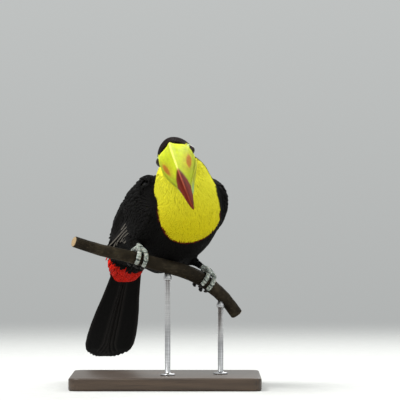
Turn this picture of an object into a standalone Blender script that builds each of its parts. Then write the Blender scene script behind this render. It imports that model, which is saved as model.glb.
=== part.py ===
"""A keel-billed toucan at life size, crouched on a cut length of branch that a plain stand holds up.

The frame is +Z up with the origin at the middle of the stand's underside. The bird looks towards -Y.
Every solid is closed, and neighbours keep a gap of GAP between them.
"""

import math

import bmesh
import bpy
from mathutils import Matrix, Vector

MM = 0.001
GAP = 0.35 * MM  # the clearance between neighbouring solids

# Driving dimensions of the bird and its stand.
TAIL_LENGTH = 171 * MM
TAIL_ASIDE = 2.6 * MM  # how far the tail's root lies to the bird's right of the spine
EYE_RADIUS = 6.0 * MM
TOE_RADIUS = 3.3 * MM
SHANK_RADIUS = 3.3 * MM
PERCH_MIDDLE = Vector((5, -35, 141)) * MM  # the reference point of perch and bird, on the branch's axis
BASE_SIZE = Vector((210, 200, 14)) * MM
ROD_RADIUS = 3.0 * MM

# Head: turned, bowed and rolled, so that the bird peers past its bill.
EYES_MIDDLE = Vector((6.6, -55, 112.8)) * MM  # from PERCH_MIDDLE
HEAD_YAW, HEAD_PITCH, HEAD_ROLL = (math.radians(a) for a in (3.8, -13.1, 23.0))
EYE_SPREAD = 15.8 * MM  # each eye's centre, from the middle plane

# The trunk and neck run along one spine. Each station holds the centre (from PERCH_MIDDLE), the direction
# of the bird's left, the half width, and the heights above and below, in millimetres.
BODY_STATIONS = (
    ((-43.9, 94, 4), (0.97, 0.22, 0.0), 20, 13, 15),
    ((-38.5, 72, 25), (0.93, 0.36, 0.0), 27, 28, 36),
    ((-14, 48, 35), (0.88, 0.47, 0.0), 40, 45, 50),
    ((5.5, 20, 47), (0.88, 0.47, 0.0), 43.5, 49.5, 50.5),
    ((16.5, -6, 62), (0.89, 0.44, 0.1), 40, 44, 45.5),
    ((14.5, -23, 84), (0.92, 0.26, 0.26), 32, 30, 33),
    ((9, -34, 103), (0.92, 0.05, 0.38), 23, 20, 22),
)
# Along the head's own axis from the eyes: distance, half width, height above and below, in millimetres.
HEAD_STATIONS = (
    (-35, 6, 6, 7),
    (-31, 12.5, 12, 13),
    (-23, 17.5, 17.5, 20),
    (-12, 19.8, 20.3, 25),
    (0, 19.8, 20.5, 26),
    (11, 18.8, 20.0, 26.2),
)
# The bill's side view and plan, from the eyes, in millimetres: distance, ridge, cutting edge, half width.
UPPER_BILL = (
    (11, 20, -9, 19.3),
    (35, 23, -9, 17.2),
    (60, 22, -10.5, 13.2),
    (85, 15, -13, 8.9),
    (105, 5, -17, 6.4),
    (122, -9, -22, 4.3),
    (134, -20.5, -26, 2.4),
    (139, -27.5, -29, 1.0),
)
# Distance, keel (the lowest line), half width.
LOWER_BILL = (
    (11, -26, 18.3),
    (35, -27.3, 15.8),
    (60, -28, 11.0),
    (85, -28.8, 7.3),
    (105, -29.6, 5.0),
    (120, -29.6, 3.2),
    (130, -29.2, 1.5),
)
# The sections' roundness: 2 is an ellipse, and more is boxier.
CROWN_POWER, CHIN_POWER = 1.78, 2.25
BILL_POWER, BILL_BASE_POWER = 1.75, 3.0
BILL_BASE_LENGTH = 60  # the stretch, in millimetres, over which the base's section turns into the bill's
BILL_ROOF = 0.12  # how far the base's shoulders drop from its ridge, as a share of the height
# The branch's axis from PERCH_MIDDLE and its radius, in millimetres.
PERCH_STATIONS = (
    ((-104, -55, 21), 6.2),
    ((-75, -40, 11.4), 6.6),
    ((-43, -23, 4), 7.0),
    ((-12, -6.5, -5), 7.6),
    ((13, 7, -11.6), 8.0),
    ((32, 17, -19.8), 8.0),
    ((46, 24.5, -30), 7.6),
    ((60, 32, -42.5), 7.2),
    ((74, 39, -61), 7.0),
)
# The folded wing's outer face lies on a shell round the spine: station number, lower and upper edge as
# degrees up from the side, the shell's half width and height, the wing's depth, and how far its edges
# sink into the trunk, in millimetres.
WING_STATIONS = (
    (4.62, 6, 20, 31, 30, 8, 3),
    (4.3, -8, 31, 45.5, 44, 13, 8),
    (3.9, -19, 50, 51, 53, 14, 8),
    (3.3, -26, 63, 53, 55.5, 14, 7),
    (2.7, -30, 68, 51.5, 54, 14, 7),
    (2.1, -32, 71, 47.5, 50, 13, 7),
    (1.6, -32, 72, 41.5, 43.5, 12, 7),
    (1.1, -22, 65, 32.5, 35.5, 9, 7),
    (0.6, -4, 54, 29.5, 31, 6, 0),
    (0.2, 4, 42, 27, 26.5, 4, 0),
    (0.0, 10, 34, 25.5, 24, 2.5, 0),
)

SLOTS = {
    "plumage_black": ((0.012, 0.011, 0.012), 0.55),
    "plumage_yellow": ((0.86, 0.72, 0.06), 0.6),
    "plumage_red": ((0.62, 0.02, 0.01), 0.6),
    "plumage_cream": ((0.86, 0.82, 0.66), 0.6),
    "bill_green": ((0.48, 0.62, 0.05), 0.3),
    "bill_blue": ((0.22, 0.5, 0.55), 0.3),
    "eye": ((0.02, 0.016, 0.01), 0.08),
    "foot_skin": ((0.36, 0.5, 0.56), 0.5),
    "claw": ((0.03, 0.03, 0.035), 0.35),
    "bark": ((0.16, 0.1, 0.06), 0.85),
    "stand_wood": ((0.06, 0.04, 0.03), 0.4),
    "stand_metal": ((0.55, 0.55, 0.56), 0.3),
}


# ---------------------------------------------------------------- helpers


def clear_scene():
    for obj in list(bpy.data.objects):
        bpy.data.objects.remove(obj)


def make_material(slot):
    colour, roughness = SLOTS[slot]
    material = bpy.data.materials.new(slot)
    material.use_nodes = True
    shader = material.node_tree.nodes["Principled BSDF"]
    shader.inputs["Base Color"].default_value = (*colour, 1.0)
    shader.inputs["Roughness"].default_value = roughness
    shader.inputs["Metallic"].default_value = 1.0 if slot == "stand_metal" else 0.0
    return material


def turned(yaw, pitch, roll):
    """Axes (forward, left, up) of something that looks towards -Y before it is turned."""
    forward = Vector((math.cos(pitch) * math.sin(yaw), -math.cos(pitch) * math.cos(yaw), math.sin(pitch)))
    level = Vector((math.cos(yaw), math.sin(yaw), 0))
    over = forward.cross(level)
    left = math.cos(roll) * level + math.sin(roll) * over
    return forward, left, forward.cross(left)


def placed(origin, axes):
    """The matrix whose columns are the axes."""
    matrix = Matrix((axes[0], axes[1], axes[2])).transposed().to_4x4()
    matrix.translation = origin
    return matrix


def smooth_value(knots, at):
    """A cubic through the knots, read at a fractional index. Knots are numbers or vectors."""
    i = min(max(int(math.floor(at)), 0), len(knots) - 2)
    t = at - i
    a, b = knots[i], knots[i + 1]
    before = knots[i - 1] if i > 0 else a + (a - b)
    after = knots[i + 2] if i + 2 < len(knots) else b + (b - a)
    return (
        b * (0.5 * (t + 4 * t**2 - 3 * t**3))
        + a * (1 - 2.5 * t**2 + 1.5 * t**3)
        + before * (-0.5 * t + t**2 - 0.5 * t**3)
        + after * (0.5 * (t**3 - t**2))
    )


def read_table(rows, key, keys, column):
    """A column of a table at a value of its first column, by straight lines between rows."""
    for low, high in zip(rows, rows[1:]):
        if key <= high[keys] or high is rows[-1]:
            t = (key - low[keys]) / (high[keys] - low[keys])
            return low[column] + (high[column] - low[column]) * t
    return rows[-1][column]


def rounded(angle, power):
    """The point of a unit superellipse at this angle."""
    c, s = math.cos(angle), math.sin(angle)
    return (
        math.copysign(abs(c) ** (2 / power), c),
        math.copysign(abs(s) ** (2 / power), s),
    )


def loft(rings):
    """A closed bmesh through rings of equally many points, with its ends capped."""
    bm = bmesh.new()
    made = [[bm.verts.new(point) for point in ring] for ring in rings]
    for low, high in zip(made, made[1:]):
        for quad in zip(low, low[1:] + low[:1], high[1:] + high[:1], high):
            bm.faces.new(quad)
    bm.faces.new(made[0][::-1])
    bm.faces.new(made[-1])
    bmesh.ops.triangulate(bm, faces=bm.faces, quad_method="FIXED")
    bmesh.ops.recalc_face_normals(bm, faces=bm.faces)
    if bm.calc_volume(signed=True) < 0:
        bmesh.ops.reverse_faces(bm, faces=bm.faces)
    return bm


def grown(bm, by):
    """The same bmesh with every vertex moved outwards, for cutting a clear bed in a neighbour."""
    bm.normal_update()
    for vert, normal in [(v, v.normal.copy()) for v in bm.verts]:
        vert.co += normal * by
    return bm


def body_from(name, bm, slot, smooth=True):
    """One named object from a bmesh, with its own material."""
    mesh = bpy.data.meshes.new(name)
    bm.to_mesh(mesh)
    bm.free()
    if smooth:
        mesh.shade_smooth()
        mesh.set_sharp_from_angle(angle=math.radians(40))
    obj = bpy.data.objects.new(name, mesh)
    bpy.context.scene.collection.objects.link(obj)
    mesh.materials.append(make_material(slot))
    return obj


def helper_from(name, bm):
    """A cutter or a form that isn't part of the model."""
    obj = body_from(name, bm, "bark", smooth=False)
    obj.hide_render = True
    obj.display_type = "WIRE"
    return obj


def boolean(obj, other, operation):
    modifier = obj.modifiers.new(operation.lower() + "_" + other.name, "BOOLEAN")
    modifier.object = other
    modifier.operation = operation
    modifier.solver = "EXACT"
    return modifier


def tube_rings(points, radii, sides, squash=1.0, across=None):
    """Rings square to a path. Squash flattens them square to the direction across."""
    rings = []
    for i, point in enumerate(points):
        ahead = (points[min(i + 1, len(points) - 1)] - points[max(i - 1, 0)]).normalized()
        hint = across if across is not None else Vector((0, 0, 1))
        if abs(ahead.dot(hint)) > 0.95:
            hint = Vector((1, 0, 0))
        side = (hint - ahead * hint.dot(ahead)).normalized()
        up = ahead.cross(side)
        rings.append(
            [
                point
                + radii[i] * (side * math.cos(a) + up * squash * math.sin(a))
                for a in (2 * math.pi * k / sides for k in range(sides))
            ]
        )
    return rings


# ---------------------------------------------------------------- trunk, neck and head


def spine_at(at):
    """(centre, forward, left, up, half width, above, below) of the body at a fractional station."""
    centres = [Vector(row[0]) * MM for row in BODY_STATIONS]
    centre = smooth_value(centres, at) + PERCH_MIDDLE
    forward = (smooth_value(centres, at + 0.05) - smooth_value(centres, at - 0.05)).normalized()
    hint = smooth_value([Vector(row[1]) for row in BODY_STATIONS], at)
    left = (hint - forward * hint.dot(forward)).normalized()
    sizes = (smooth_value([row[k] * MM for row in BODY_STATIONS], at) for k in (2, 3, 4))
    return (centre, forward, left, forward.cross(left), *sizes)


def body_form(around=28, between=3):
    """The trunk and neck as one loft."""
    last = len(BODY_STATIONS) - 1
    rings = []
    for k in range(last * between + 1):
        centre, _, left, up, width, above, below = spine_at(k / between)
        ring = []
        for j in range(around):
            c, s = rounded(2 * math.pi * j / around, 2.1)
            height = above if s > 0 else below
            ring.append(centre + left * width * c + up * height * s)
        rings.append(ring)
    return loft(rings)


def head_matrix():
    return placed(PERCH_MIDDLE + EYES_MIDDLE, turned(HEAD_YAW, HEAD_PITCH, HEAD_ROLL))


def head_form(around=22):
    """The skull with its plumage, from the nape to the bill's root."""
    matrix = head_matrix()
    steps = 11
    rings = []
    for k in range(steps + 1):
        x = HEAD_STATIONS[0][0] + (HEAD_STATIONS[-1][0] - HEAD_STATIONS[0][0]) * (k / steps)
        at = next(
            i + (x - a[0]) / (b[0] - a[0])
            for i, (a, b) in enumerate(zip(HEAD_STATIONS, HEAD_STATIONS[1:]))
            if x <= b[0] + 1e-6
        )
        width, above, below = (smooth_value([row[c] for row in HEAD_STATIONS], at) for c in (1, 2, 3))
        ring = []
        for j in range(around):
            angle = 2 * math.pi * j / around
            c, s = rounded(angle, CROWN_POWER if angle < math.pi else CHIN_POWER)
            ring.append(matrix @ (Vector((x, width * c, (above if s > 0 else below) * s)) * MM))
        rings.append(ring)
    return loft(rings)


def half_space(name, point, normal, size=0.6):
    """A large box that fills one side of a plane."""
    bm = bmesh.new()
    bmesh.ops.create_cube(bm, size=size)
    turn = normal.to_track_quat("Z", "Y").to_matrix().to_4x4()
    bmesh.ops.transform(
        bm, matrix=Matrix.Translation(point + normal * (size / 2)) @ turn, verts=bm.verts
    )
    return helper_from(name, bm)


def make_body():
    """The trunk, the neck and the head: one form, parted by two thin plane cuts."""
    helper_from("form_body_bed", grown(body_form(), 2 * GAP))
    head_helper = helper_from("form_head", head_form())
    shoulder, *_ = spine_at(4.5)
    neck_cut = (shoulder, Vector((0.1, -0.94, 0.33)).normalized())
    forward, _, up = turned(HEAD_YAW, HEAD_PITCH, HEAD_ROLL)
    nape = PERCH_MIDDLE + EYES_MIDDLE - forward * 21 * MM - up * 6 * MM
    head_cut = (nape, (forward * 0.80 + up * 0.60).normalized())
    half = GAP / 2
    past_neck = half_space("cut_past_neck", neck_cut[0] + neck_cut[1] * half, neck_cut[1])
    before_neck = half_space("cut_before_neck", neck_cut[0] - neck_cut[1] * half, -neck_cut[1])
    past_head = half_space("cut_past_head", head_cut[0] + head_cut[1] * half, head_cut[1])
    before_head = half_space("cut_before_head", head_cut[0] - head_cut[1] * half, -head_cut[1])
    trunk = body_from("trunk", body_form(), "plumage_black")
    boolean(trunk, before_neck, "INTERSECT")
    boolean(trunk, helper_from("form_perch_bed", grown(perch_form(), 1.2 * GAP)), "DIFFERENCE")
    neck = body_from("neck", body_form(), "plumage_yellow")
    boolean(neck, head_helper, "UNION")
    boolean(neck, past_neck, "INTERSECT")
    boolean(neck, before_head, "INTERSECT")
    head = body_from("head", head_form(), "plumage_black")
    joint = helper_from("form_neck", body_form())
    boolean(head, joint, "UNION")
    boolean(head, past_head, "INTERSECT")
    return head


def make_eyes(head):
    """Two eyeballs, each in a socket cut a gap wider than it."""
    for side, name in ((1, "eye_left"), (-1, "eye_right")):
        centre = Vector((0, side * EYE_SPREAD, 1.0 * MM))
        for grow, label in ((0.0, name), (GAP, "socket_" + name)):
            bm = bmesh.new()
            bmesh.ops.create_icosphere(bm, subdivisions=2, radius=EYE_RADIUS + grow)
            bmesh.ops.translate(bm, vec=centre, verts=bm.verts)
            bmesh.ops.transform(bm, matrix=head_matrix(), verts=bm.verts)
            if grow:
                boolean(head, helper_from(label, bm), "DIFFERENCE")
            else:
                body_from(label, bm, "eye")


# ---------------------------------------------------------------- bill


def bill_stations(rows, steps):
    """Evenly read rows of a bill table, smooth between its own."""
    found = []
    for k in range(steps + 1):
        at = (len(rows) - 1) * k / steps
        found.append([smooth_value([row[c] for row in rows], at) for c in range(len(rows[0]))])
    return found


def make_bill():
    """Both halves of the bill, parted along the cutting edge."""
    matrix = head_matrix()
    arch = 13
    rings = []
    for x, ridge, edge, width in bill_stations(UPPER_BILL, 16):
        height = ridge - edge
        base = 1 - min(1.0, (x - UPPER_BILL[0][0]) / BILL_BASE_LENGTH)
        power = BILL_POWER + (BILL_BASE_POWER - BILL_POWER) * base
        ring = []
        for j in range(arch):
            c, s = rounded(math.pi * j / (arch - 1), power)
            keel = 0.05 * height * math.exp(-((c / 0.12) ** 2))
            drop = min(BILL_ROOF * height * base * math.sin(math.pi * abs(c)), height * s / 2)
            ring.append(Vector((x + GAP / MM, width * c, edge + height * s * 0.95 + keel - drop)))
        ring += [Vector((x + GAP / MM, -width * f, edge)) for f in (-0.5, 0.0, 0.5)]
        rings.append([matrix @ (p * MM) for p in ordered_loop(ring)])
    body_from("bill_upper", loft(rings), "bill_green")
    rings = []
    for x, keel_line, width in bill_stations(LOWER_BILL, 14):
        edge = read_table(UPPER_BILL, x, 0, 2) - GAP / MM - 0.25
        depth = max(edge - keel_line, 0.8)
        ring = []
        for j in range(arch):
            c, s = rounded(math.pi * j / (arch - 1), 2.2)
            ring.append(Vector((x + GAP / MM, width * c, edge - depth * s)))
        ring += [Vector((x + GAP / MM, -width * f, edge)) for f in (-0.5, 0.0, 0.5)]
        rings.append([matrix @ (p * MM) for p in ordered_loop(ring)])
    body_from("bill_lower", loft(rings), "bill_blue")


def ordered_loop(ring):
    """The ring's points as one loop: an arch from left to right, then back along its chord."""
    arch, chord = ring[:-3], ring[-3:]
    return arch + sorted(chord, key=lambda p: p.y)


# ---------------------------------------------------------------- wings


def wing_ring(row, side):
    """One section of the folded wing: out over its outer face and back along its inner one."""
    at, low, high, width, height, depth, sink = row
    centre, _, left, up, *_ = spine_at(at)
    count = 11
    outer, inner = [], []
    for j in range(count):
        share = j / (count - 1)
        angle = math.radians(low + (high - low) * share)
        sunk = sink * (2 * share - 1) ** 8
        thick = 0.8 + depth * (1 - (2 * share - 1) ** 6)
        for face, inward in ((outer, sunk), (inner, sunk + thick)):
            w, h = (width - inward) * MM, (height - inward) * MM
            face.append(centre + left * side * w * math.cos(angle) + up * h * math.sin(angle))
    return outer + inner[::-1]


def make_wings():
    """Two folded wings, bedded against the trunk and clear of the rump behind it."""
    steps = 18
    for side, name in ((1, "wing_left"), (-1, "wing_right")):
        rings = []
        for k in range(steps + 1):
            at = (len(WING_STATIONS) - 1) * k / steps
            row = [smooth_value([r[c] for r in WING_STATIONS], at) for c in range(7)]
            rings.append(wing_ring(row, side))
        wing = body_from(name, loft(rings), "plumage_black")
        boolean(wing, bpy.data.objects["form_body_bed"], "DIFFERENCE")
        boolean(wing, bpy.data.objects["form_leg_bed" + name[4:]], "DIFFERENCE")


# ---------------------------------------------------------------- tail


def tail_frame():
    """The tail's axes at its root: backward, left, and the side of its back."""
    centre, forward, left, up, *_ = spine_at(0)
    return centre, -forward, left, up


def tail_width(share):
    """The fan's half width along its length, rounded off at the tip."""
    spread = 15.8 * MM + 13.2 * MM * min(1.0, share / 0.85) ** 0.8
    if share > 0.86:
        spread *= math.sqrt(max(0.0, 1 - ((share - 0.86) / 0.142) ** 2))
    return spread


def make_tail():
    """The fan of tail feathers, and the coverts above and below its root."""
    root, back, left, up = tail_frame()
    start = root + back * GAP - left * TAIL_ASIDE
    steps, across = 18, 7
    rings = []
    for k in range(steps + 1):
        share = k / steps
        middle = start + back * TAIL_LENGTH * share
        half = 1.6 * MM - 0.9 * MM * share
        width = tail_width(share)
        top, under = [], []
        for j in range(across):
            t = 2 * j / (across - 1) - 1
            arch = -2.2 * MM * t * t * min(1.0, share * 4)
            top.append(middle + left * width * t + up * (half + arch))
            under.append(middle + left * width * t + up * (-half + arch))
        rings.append(top + under[::-1])
    body_from("tail", loft(rings), "plumage_black")
    lifts = (
        (1, "uppertail_coverts", "plumage_cream", 13.5, 52),
        (-1, "undertail_coverts", "plumage_red", 15.0, 41),
    )
    for side, name, slot, height, length in lifts:
        rings = []
        for k in range(11):
            share = k / 10
            middle = start + back * length * MM * share
            fall = math.sqrt(max(0.0, 1 - share**2.2))
            width = (21.5 - 3.0 * share) * MM * max(fall, 0.25) ** 0.5
            bulge = height * MM * max(fall, 0.08)
            arch_low = 1.6 * MM + GAP
            ring = []
            for j in range(11):
                c, s = rounded(math.pi * j / 10, 2.2)
                sag = -2.2 * MM * (width * c / tail_width(length * MM * share / TAIL_LENGTH)) ** 2
                sag *= min(1.0, 4 * length * MM * share / TAIL_LENGTH)
                ring.append(middle + left * width * c + up * (side * (arch_low + bulge * s) + sag))
            for t in (-0.5, 0.0, 0.5):
                sag = -2.2 * MM * (width * t / tail_width(length * MM * share / TAIL_LENGTH)) ** 2
                sag *= min(1.0, 4 * length * MM * share / TAIL_LENGTH)
                ring.append(middle + left * width * t + up * (side * arch_low + sag))
            rings.append(ring)
        body_from(name, loft(rings), slot)


# ---------------------------------------------------------------- legs, feet and claws


def perch_at(at):
    """(point, direction, radius) of the branch at a fractional station."""
    points = [Vector(row[0]) * MM for row in PERCH_STATIONS]
    point = smooth_value(points, at) + PERCH_MIDDLE
    along = (smooth_value(points, at + 0.05) - smooth_value(points, at - 0.05)).normalized()
    radius = smooth_value([row[1] * MM for row in PERCH_STATIONS], at)
    return point, along, radius


def make_leg(side, at, ankle):
    """A feathered thigh, a bare shank, and a foot whose toes grip the branch two and two."""
    word = "left" if side > 0 else "right"
    point, along, radius = perch_at(at)
    up = (Vector((0, 0, 1)) - along * along.z).normalized()
    ahead = along.cross(up)
    if ahead.y > 0:
        ahead = -ahead
    grip = radius + TOE_RADIUS + GAP

    def round_branch(degrees, offset, reach):
        a = math.radians(degrees)
        return point + along * offset + reach * (up * math.sin(a) + ahead * math.cos(a))

    toes = (
        ("inner_front", -1, 104, -42, 1),
        ("outer_front", 1, 104, -48, 1),
        ("inner_back", -1, 76, 214, -1),
        ("outer_back", 1, 76, 220, -1),
    )
    palm = round_branch(92, 0, grip + 0.6 * MM)
    hip = PERCH_MIDDLE + ankle
    axis = (hip - palm).normalized()
    joint = [palm + axis * f * MM for f in (-1, 4, 9)]
    joint_form = loft(tube_rings(joint, [4.1 * MM, 4.4 * MM, SHANK_RADIUS], 10))
    foot = body_from("foot_" + word, joint_form, "foot_skin")
    for name, lean, start, end, _ in toes:
        spread_from, spread_to = 3.0 * MM * lean, 4.6 * MM * lean
        steps = 10
        path, radii = [], []
        for k in range(steps):
            share = k / (steps - 1)
            offset = spread_from + (spread_to - spread_from) * min(1.0, share * 1.6)
            path.append(round_branch(start + (end - start) * share, offset, grip))
            knuckle = 0.10 * math.cos(share * 3 * 2 * math.pi)
            radii.append(TOE_RADIUS * (1.0 - 0.14 * share + knuckle * 0.6) * (0.93 if share else 1.0))
        toe = helper_from(f"form_toe_{word}_{name}", loft(tube_rings(path, radii, 7, across=along)))
        boolean(foot, toe, "UNION")
        turn = 1 if end > start else -1
        claw_path, claw_radii = [], []
        for k in range(6):
            share = k / 5
            degrees = end + turn * (2.2 + 30 * share)
            height = grip + 0.5 * MM * math.sin(math.pi * share) - 1.2 * MM * share
            claw_path.append(round_branch(degrees, spread_to, height))
            claw_radii.append(TOE_RADIUS * (0.72 - 0.56 * share))
        body_from(f"claw_{word}_{name}", loft(tube_rings(claw_path, claw_radii, 6, across=along)), "claw")
    reach = (hip - palm).length
    cuff = reach * (0.50 if side > 0 else 0.42)
    shank_from = 9 * MM + GAP
    shank_to = reach - cuff
    steps = 5
    shank = [palm + axis * (shank_from + (shank_to - shank_from) * k / (steps - 1)) for k in range(steps)]
    shank_form = loft(tube_rings(shank, [SHANK_RADIUS * f for f in (1.0, 0.94, 0.92, 0.98, 1.12)], 10))
    bed = bpy.data.objects["form_body_bed"]
    boolean(body_from("shank_" + word, shank_form, "foot_skin"), bed, "DIFFERENCE")
    cuff_points = [palm + axis * (shank_to + GAP + cuff * f) for f in (0, 0.3, 0.65, 1.0)]
    cuff_radii = [5.2 * MM, 9.0 * MM, 12.0 * MM, 13.0 * MM]
    thigh_form = loft(tube_rings(cuff_points, cuff_radii, 14))
    boolean(body_from("thigh_" + word, thigh_form, "plumage_black"), bed, "DIFFERENCE")
    leg_radii = [r + 2 * GAP for r in [SHANK_RADIUS] + cuff_radii]
    helper_from("form_leg_bed_" + word, loft(tube_rings([shank[0]] + cuff_points, leg_radii, 14)))


# ---------------------------------------------------------------- perch and stand


def perch_form(around=12, between=2):
    """The cut branch: a slightly knobbly tube with sawn ends."""
    last = len(PERCH_STATIONS) - 1
    points, radii = [], []
    for k in range(last * between + 1):
        point, _, radius = perch_at(k / between)
        points.append(point)
        radii.append(radius)
    return loft(tube_rings(points, radii, around))


def make_stand():
    """A flat base, and two rods up to the branch."""
    bm = bmesh.new()
    bmesh.ops.create_cube(bm, size=1)
    bmesh.ops.scale(bm, vec=BASE_SIZE, verts=bm.verts)
    bmesh.ops.translate(bm, vec=(0, 0, BASE_SIZE.z / 2), verts=bm.verts)
    upright = [e for e in bm.edges if abs(e.verts[0].co.z - e.verts[1].co.z) > 1e-6]
    bmesh.ops.bevel(bm, geom=upright, offset=18 * MM, segments=6, profile=0.5, affect="EDGES")
    rim = [e for e in bm.edges if all(abs(v.co.z - BASE_SIZE.z) < 1e-6 for v in e.verts)]
    bmesh.ops.bevel(bm, geom=rim, offset=2 * MM, segments=2, profile=0.5, affect="EDGES")
    bmesh.ops.recalc_face_normals(bm, faces=bm.faces)
    body_from("stand_base", bm, "stand_wood")
    for name, at in (("stand_rod_middle", 3.35), ("stand_rod_right", 6.7)):
        point, _, _ = perch_at(at)
        foot = Vector((point.x, point.y, BASE_SIZE.z + GAP))
        rings = tube_rings([foot, point], [ROD_RADIUS] * 2, 16, across=Vector((1, 0, 0)))
        rod = body_from(name, loft(rings), "stand_metal")
        boolean(rod, bpy.data.objects["form_perch_bed"], "DIFFERENCE")


def main():
    clear_scene()
    head = make_body()
    make_eyes(head)
    make_bill()
    make_tail()
    make_leg(1, 5.4, Vector((12, 38, 8)) * MM)
    make_leg(-1, 2.25, Vector((-38, 26, 22)) * MM)
    make_wings()
    body_from("perch", perch_form(), "bark")
    make_stand()


main()
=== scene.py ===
"""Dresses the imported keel-billed toucan: skin, feathers, bill, eyes, feet, branch, stand and studio.

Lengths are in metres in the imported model's own frame (+Z up, the bird looking towards -Y). Tables and
constants that are in millimetres say so.
"""

import logging
import math
from dataclasses import dataclass
from enum import Enum
from functools import cache
from typing import Sequence

import bmesh
import bpy
import numpy as np
from mathutils import Matrix, Vector, noise
from mathutils.bvhtree import BVHTree


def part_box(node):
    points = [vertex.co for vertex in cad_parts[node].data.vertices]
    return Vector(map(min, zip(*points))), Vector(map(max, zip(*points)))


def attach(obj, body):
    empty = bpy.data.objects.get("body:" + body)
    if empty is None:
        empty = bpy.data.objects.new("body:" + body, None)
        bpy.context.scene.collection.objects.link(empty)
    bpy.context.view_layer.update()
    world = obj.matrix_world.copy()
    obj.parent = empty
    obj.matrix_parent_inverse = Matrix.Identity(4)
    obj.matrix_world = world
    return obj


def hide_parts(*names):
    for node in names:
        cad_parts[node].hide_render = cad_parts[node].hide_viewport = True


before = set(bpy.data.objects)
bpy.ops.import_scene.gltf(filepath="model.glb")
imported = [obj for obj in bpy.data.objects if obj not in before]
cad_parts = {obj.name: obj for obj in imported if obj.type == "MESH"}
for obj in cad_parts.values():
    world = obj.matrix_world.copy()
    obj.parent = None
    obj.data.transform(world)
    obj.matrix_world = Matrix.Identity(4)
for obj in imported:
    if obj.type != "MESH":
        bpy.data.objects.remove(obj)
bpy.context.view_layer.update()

MM = 0.001
LOG = logging.getLogger("toucan")
SEED = 20260
HANDS = {"left": 1, "right": -1}
Array = np.ndarray
Colour = tuple[float, float, float]
Point = tuple[float, float, float]
Rows = tuple[tuple[float, float], ...]
Socket = bpy.types.NodeSocket
Material = bpy.types.Material


class Part(Enum):
    """The kinds of flesh that the skin covers, each with the CAD nodes it takes."""

    HEAD = ("head",)
    NECK = ("neck",)
    TRUNK = ("trunk",)
    WING_LEFT = ("wing_left",)
    WING_RIGHT = ("wing_right",)
    THIGH = ("thigh_left", "thigh_right")
    RUMP = ("uppertail_coverts",)
    VENT = ("undertail_coverts",)
    FOOT = ("foot_left", "foot_right", "shank_left", "shank_right")


PARTS = list(Part)
FLESH = [node for part in PARTS for node in part.value]


def among(part: Array, *which: Part) -> Array:
    """Whether each index in part is that of one of these parts."""
    return np.isin(part, [PARTS.index(p) for p in which])


# ---------------------------------------------------------------- numbers


def unit(v: Array) -> Array:
    """Vectors of length one, along the last axis."""
    return v / np.maximum(np.linalg.norm(v, axis=-1, keepdims=True), 1e-12)


def dot(a: Array, b: Array) -> Array:
    """The product of each pair of rows."""
    return (a * b).sum(-1)


def without(v: Array, axis: Array) -> Array:
    """Vectors with their share along unit vectors taken out."""
    return v - dot(v, axis)[..., None] * axis


def ease(x: Array, low: float = 0.0, high: float = 1.0) -> Array:
    """A smooth step, zero below low and one above high."""
    t = np.clip((x - low) / (high - low), 0, 1)
    return t * t * (3 - 2 * t)


def hump(x: Array, width: float) -> Array:
    """A bell of height one over zero, as wide as width to each side."""
    return np.exp(-((x / width) ** 2))


def table(rows: Rows, x: Array) -> Array:
    """Reads a table of (position, value) rows."""
    return np.interp(x, *zip(*rows))


def between(row: Array, lines: Array) -> Array:
    """Reads a table of points at fractions of its rows."""
    return np.stack([np.interp(row, np.arange(len(lines)), line) for line in lines.T], -1)


def painted(base: Array, *coats: tuple[Array | Colour, Array]) -> Array:
    """Lays tints over colours, each over the one before.

    Args:
        base: A colour for each place.
        coats: Tints, each with how strongly it covers each place.

    Returns:
        The colours.
    """
    for tint, share in coats:
        base = base + (np.array(tint) - base) * share[:, None]
    return base


def cubic(xs: Sequence[float], ys: Sequence[float], x: Array) -> Array:
    """Reads a table with a smooth cubic through its rows.

    Args:
        xs: The rows' positions, rising.
        ys: The rows' values.
        x: Where to read.

    Returns:
        The values there.
    """
    xs, ys, x = (np.asarray(a, float) for a in (xs, ys, x))
    slope = np.gradient(ys, xs)
    i = np.clip(np.searchsorted(xs, x) - 1, 0, len(xs) - 2)
    h = xs[i + 1] - xs[i]
    t = np.clip((x - xs[i]) / h, 0, 1)
    return (
        (2 * t**3 - 3 * t**2 + 1) * ys[i]
        + (t**3 - 2 * t**2 + t) * h * slope[i]
        + (3 * t**2 - 2 * t**3) * ys[i + 1]
        + (t**3 - t**2) * h * slope[i + 1]
    )


def ripple(points: Array, size: float, seed: int = 0) -> Array:
    """Smooth noise of about -1 to 1 at points, with blotches of a size, in one of many patterns."""
    shift = Vector((seed * 7.31, seed * 3.17, seed * 5.77))
    return np.array([noise.noise(Vector(p) / size + shift) for p in points])


# ---------------------------------------------------------------- meshes


def corner_points(*nodes: str) -> Array:
    """All corners of some CAD nodes."""
    return np.array([v.co[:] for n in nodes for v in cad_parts[n].data.vertices])


def middle(node: str) -> Array:
    """The middle of a CAD node's box."""
    low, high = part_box(node)
    return np.array((low + high) / 2)


def merged_copy(*nodes: str) -> bmesh.types.BMesh:
    """Copies CAD nodes into one bmesh, with their loose triangles joined up.

    Args:
        nodes: The nodes' names.

    Returns:
        The joined bmesh.
    """
    bm = bmesh.new()
    for name in nodes:
        bm.from_mesh(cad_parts[name].data)
    bmesh.ops.remove_doubles(bm, verts=bm.verts, dist=2e-5)
    bmesh.ops.recalc_face_normals(bm, faces=bm.faces)
    return bm


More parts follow.
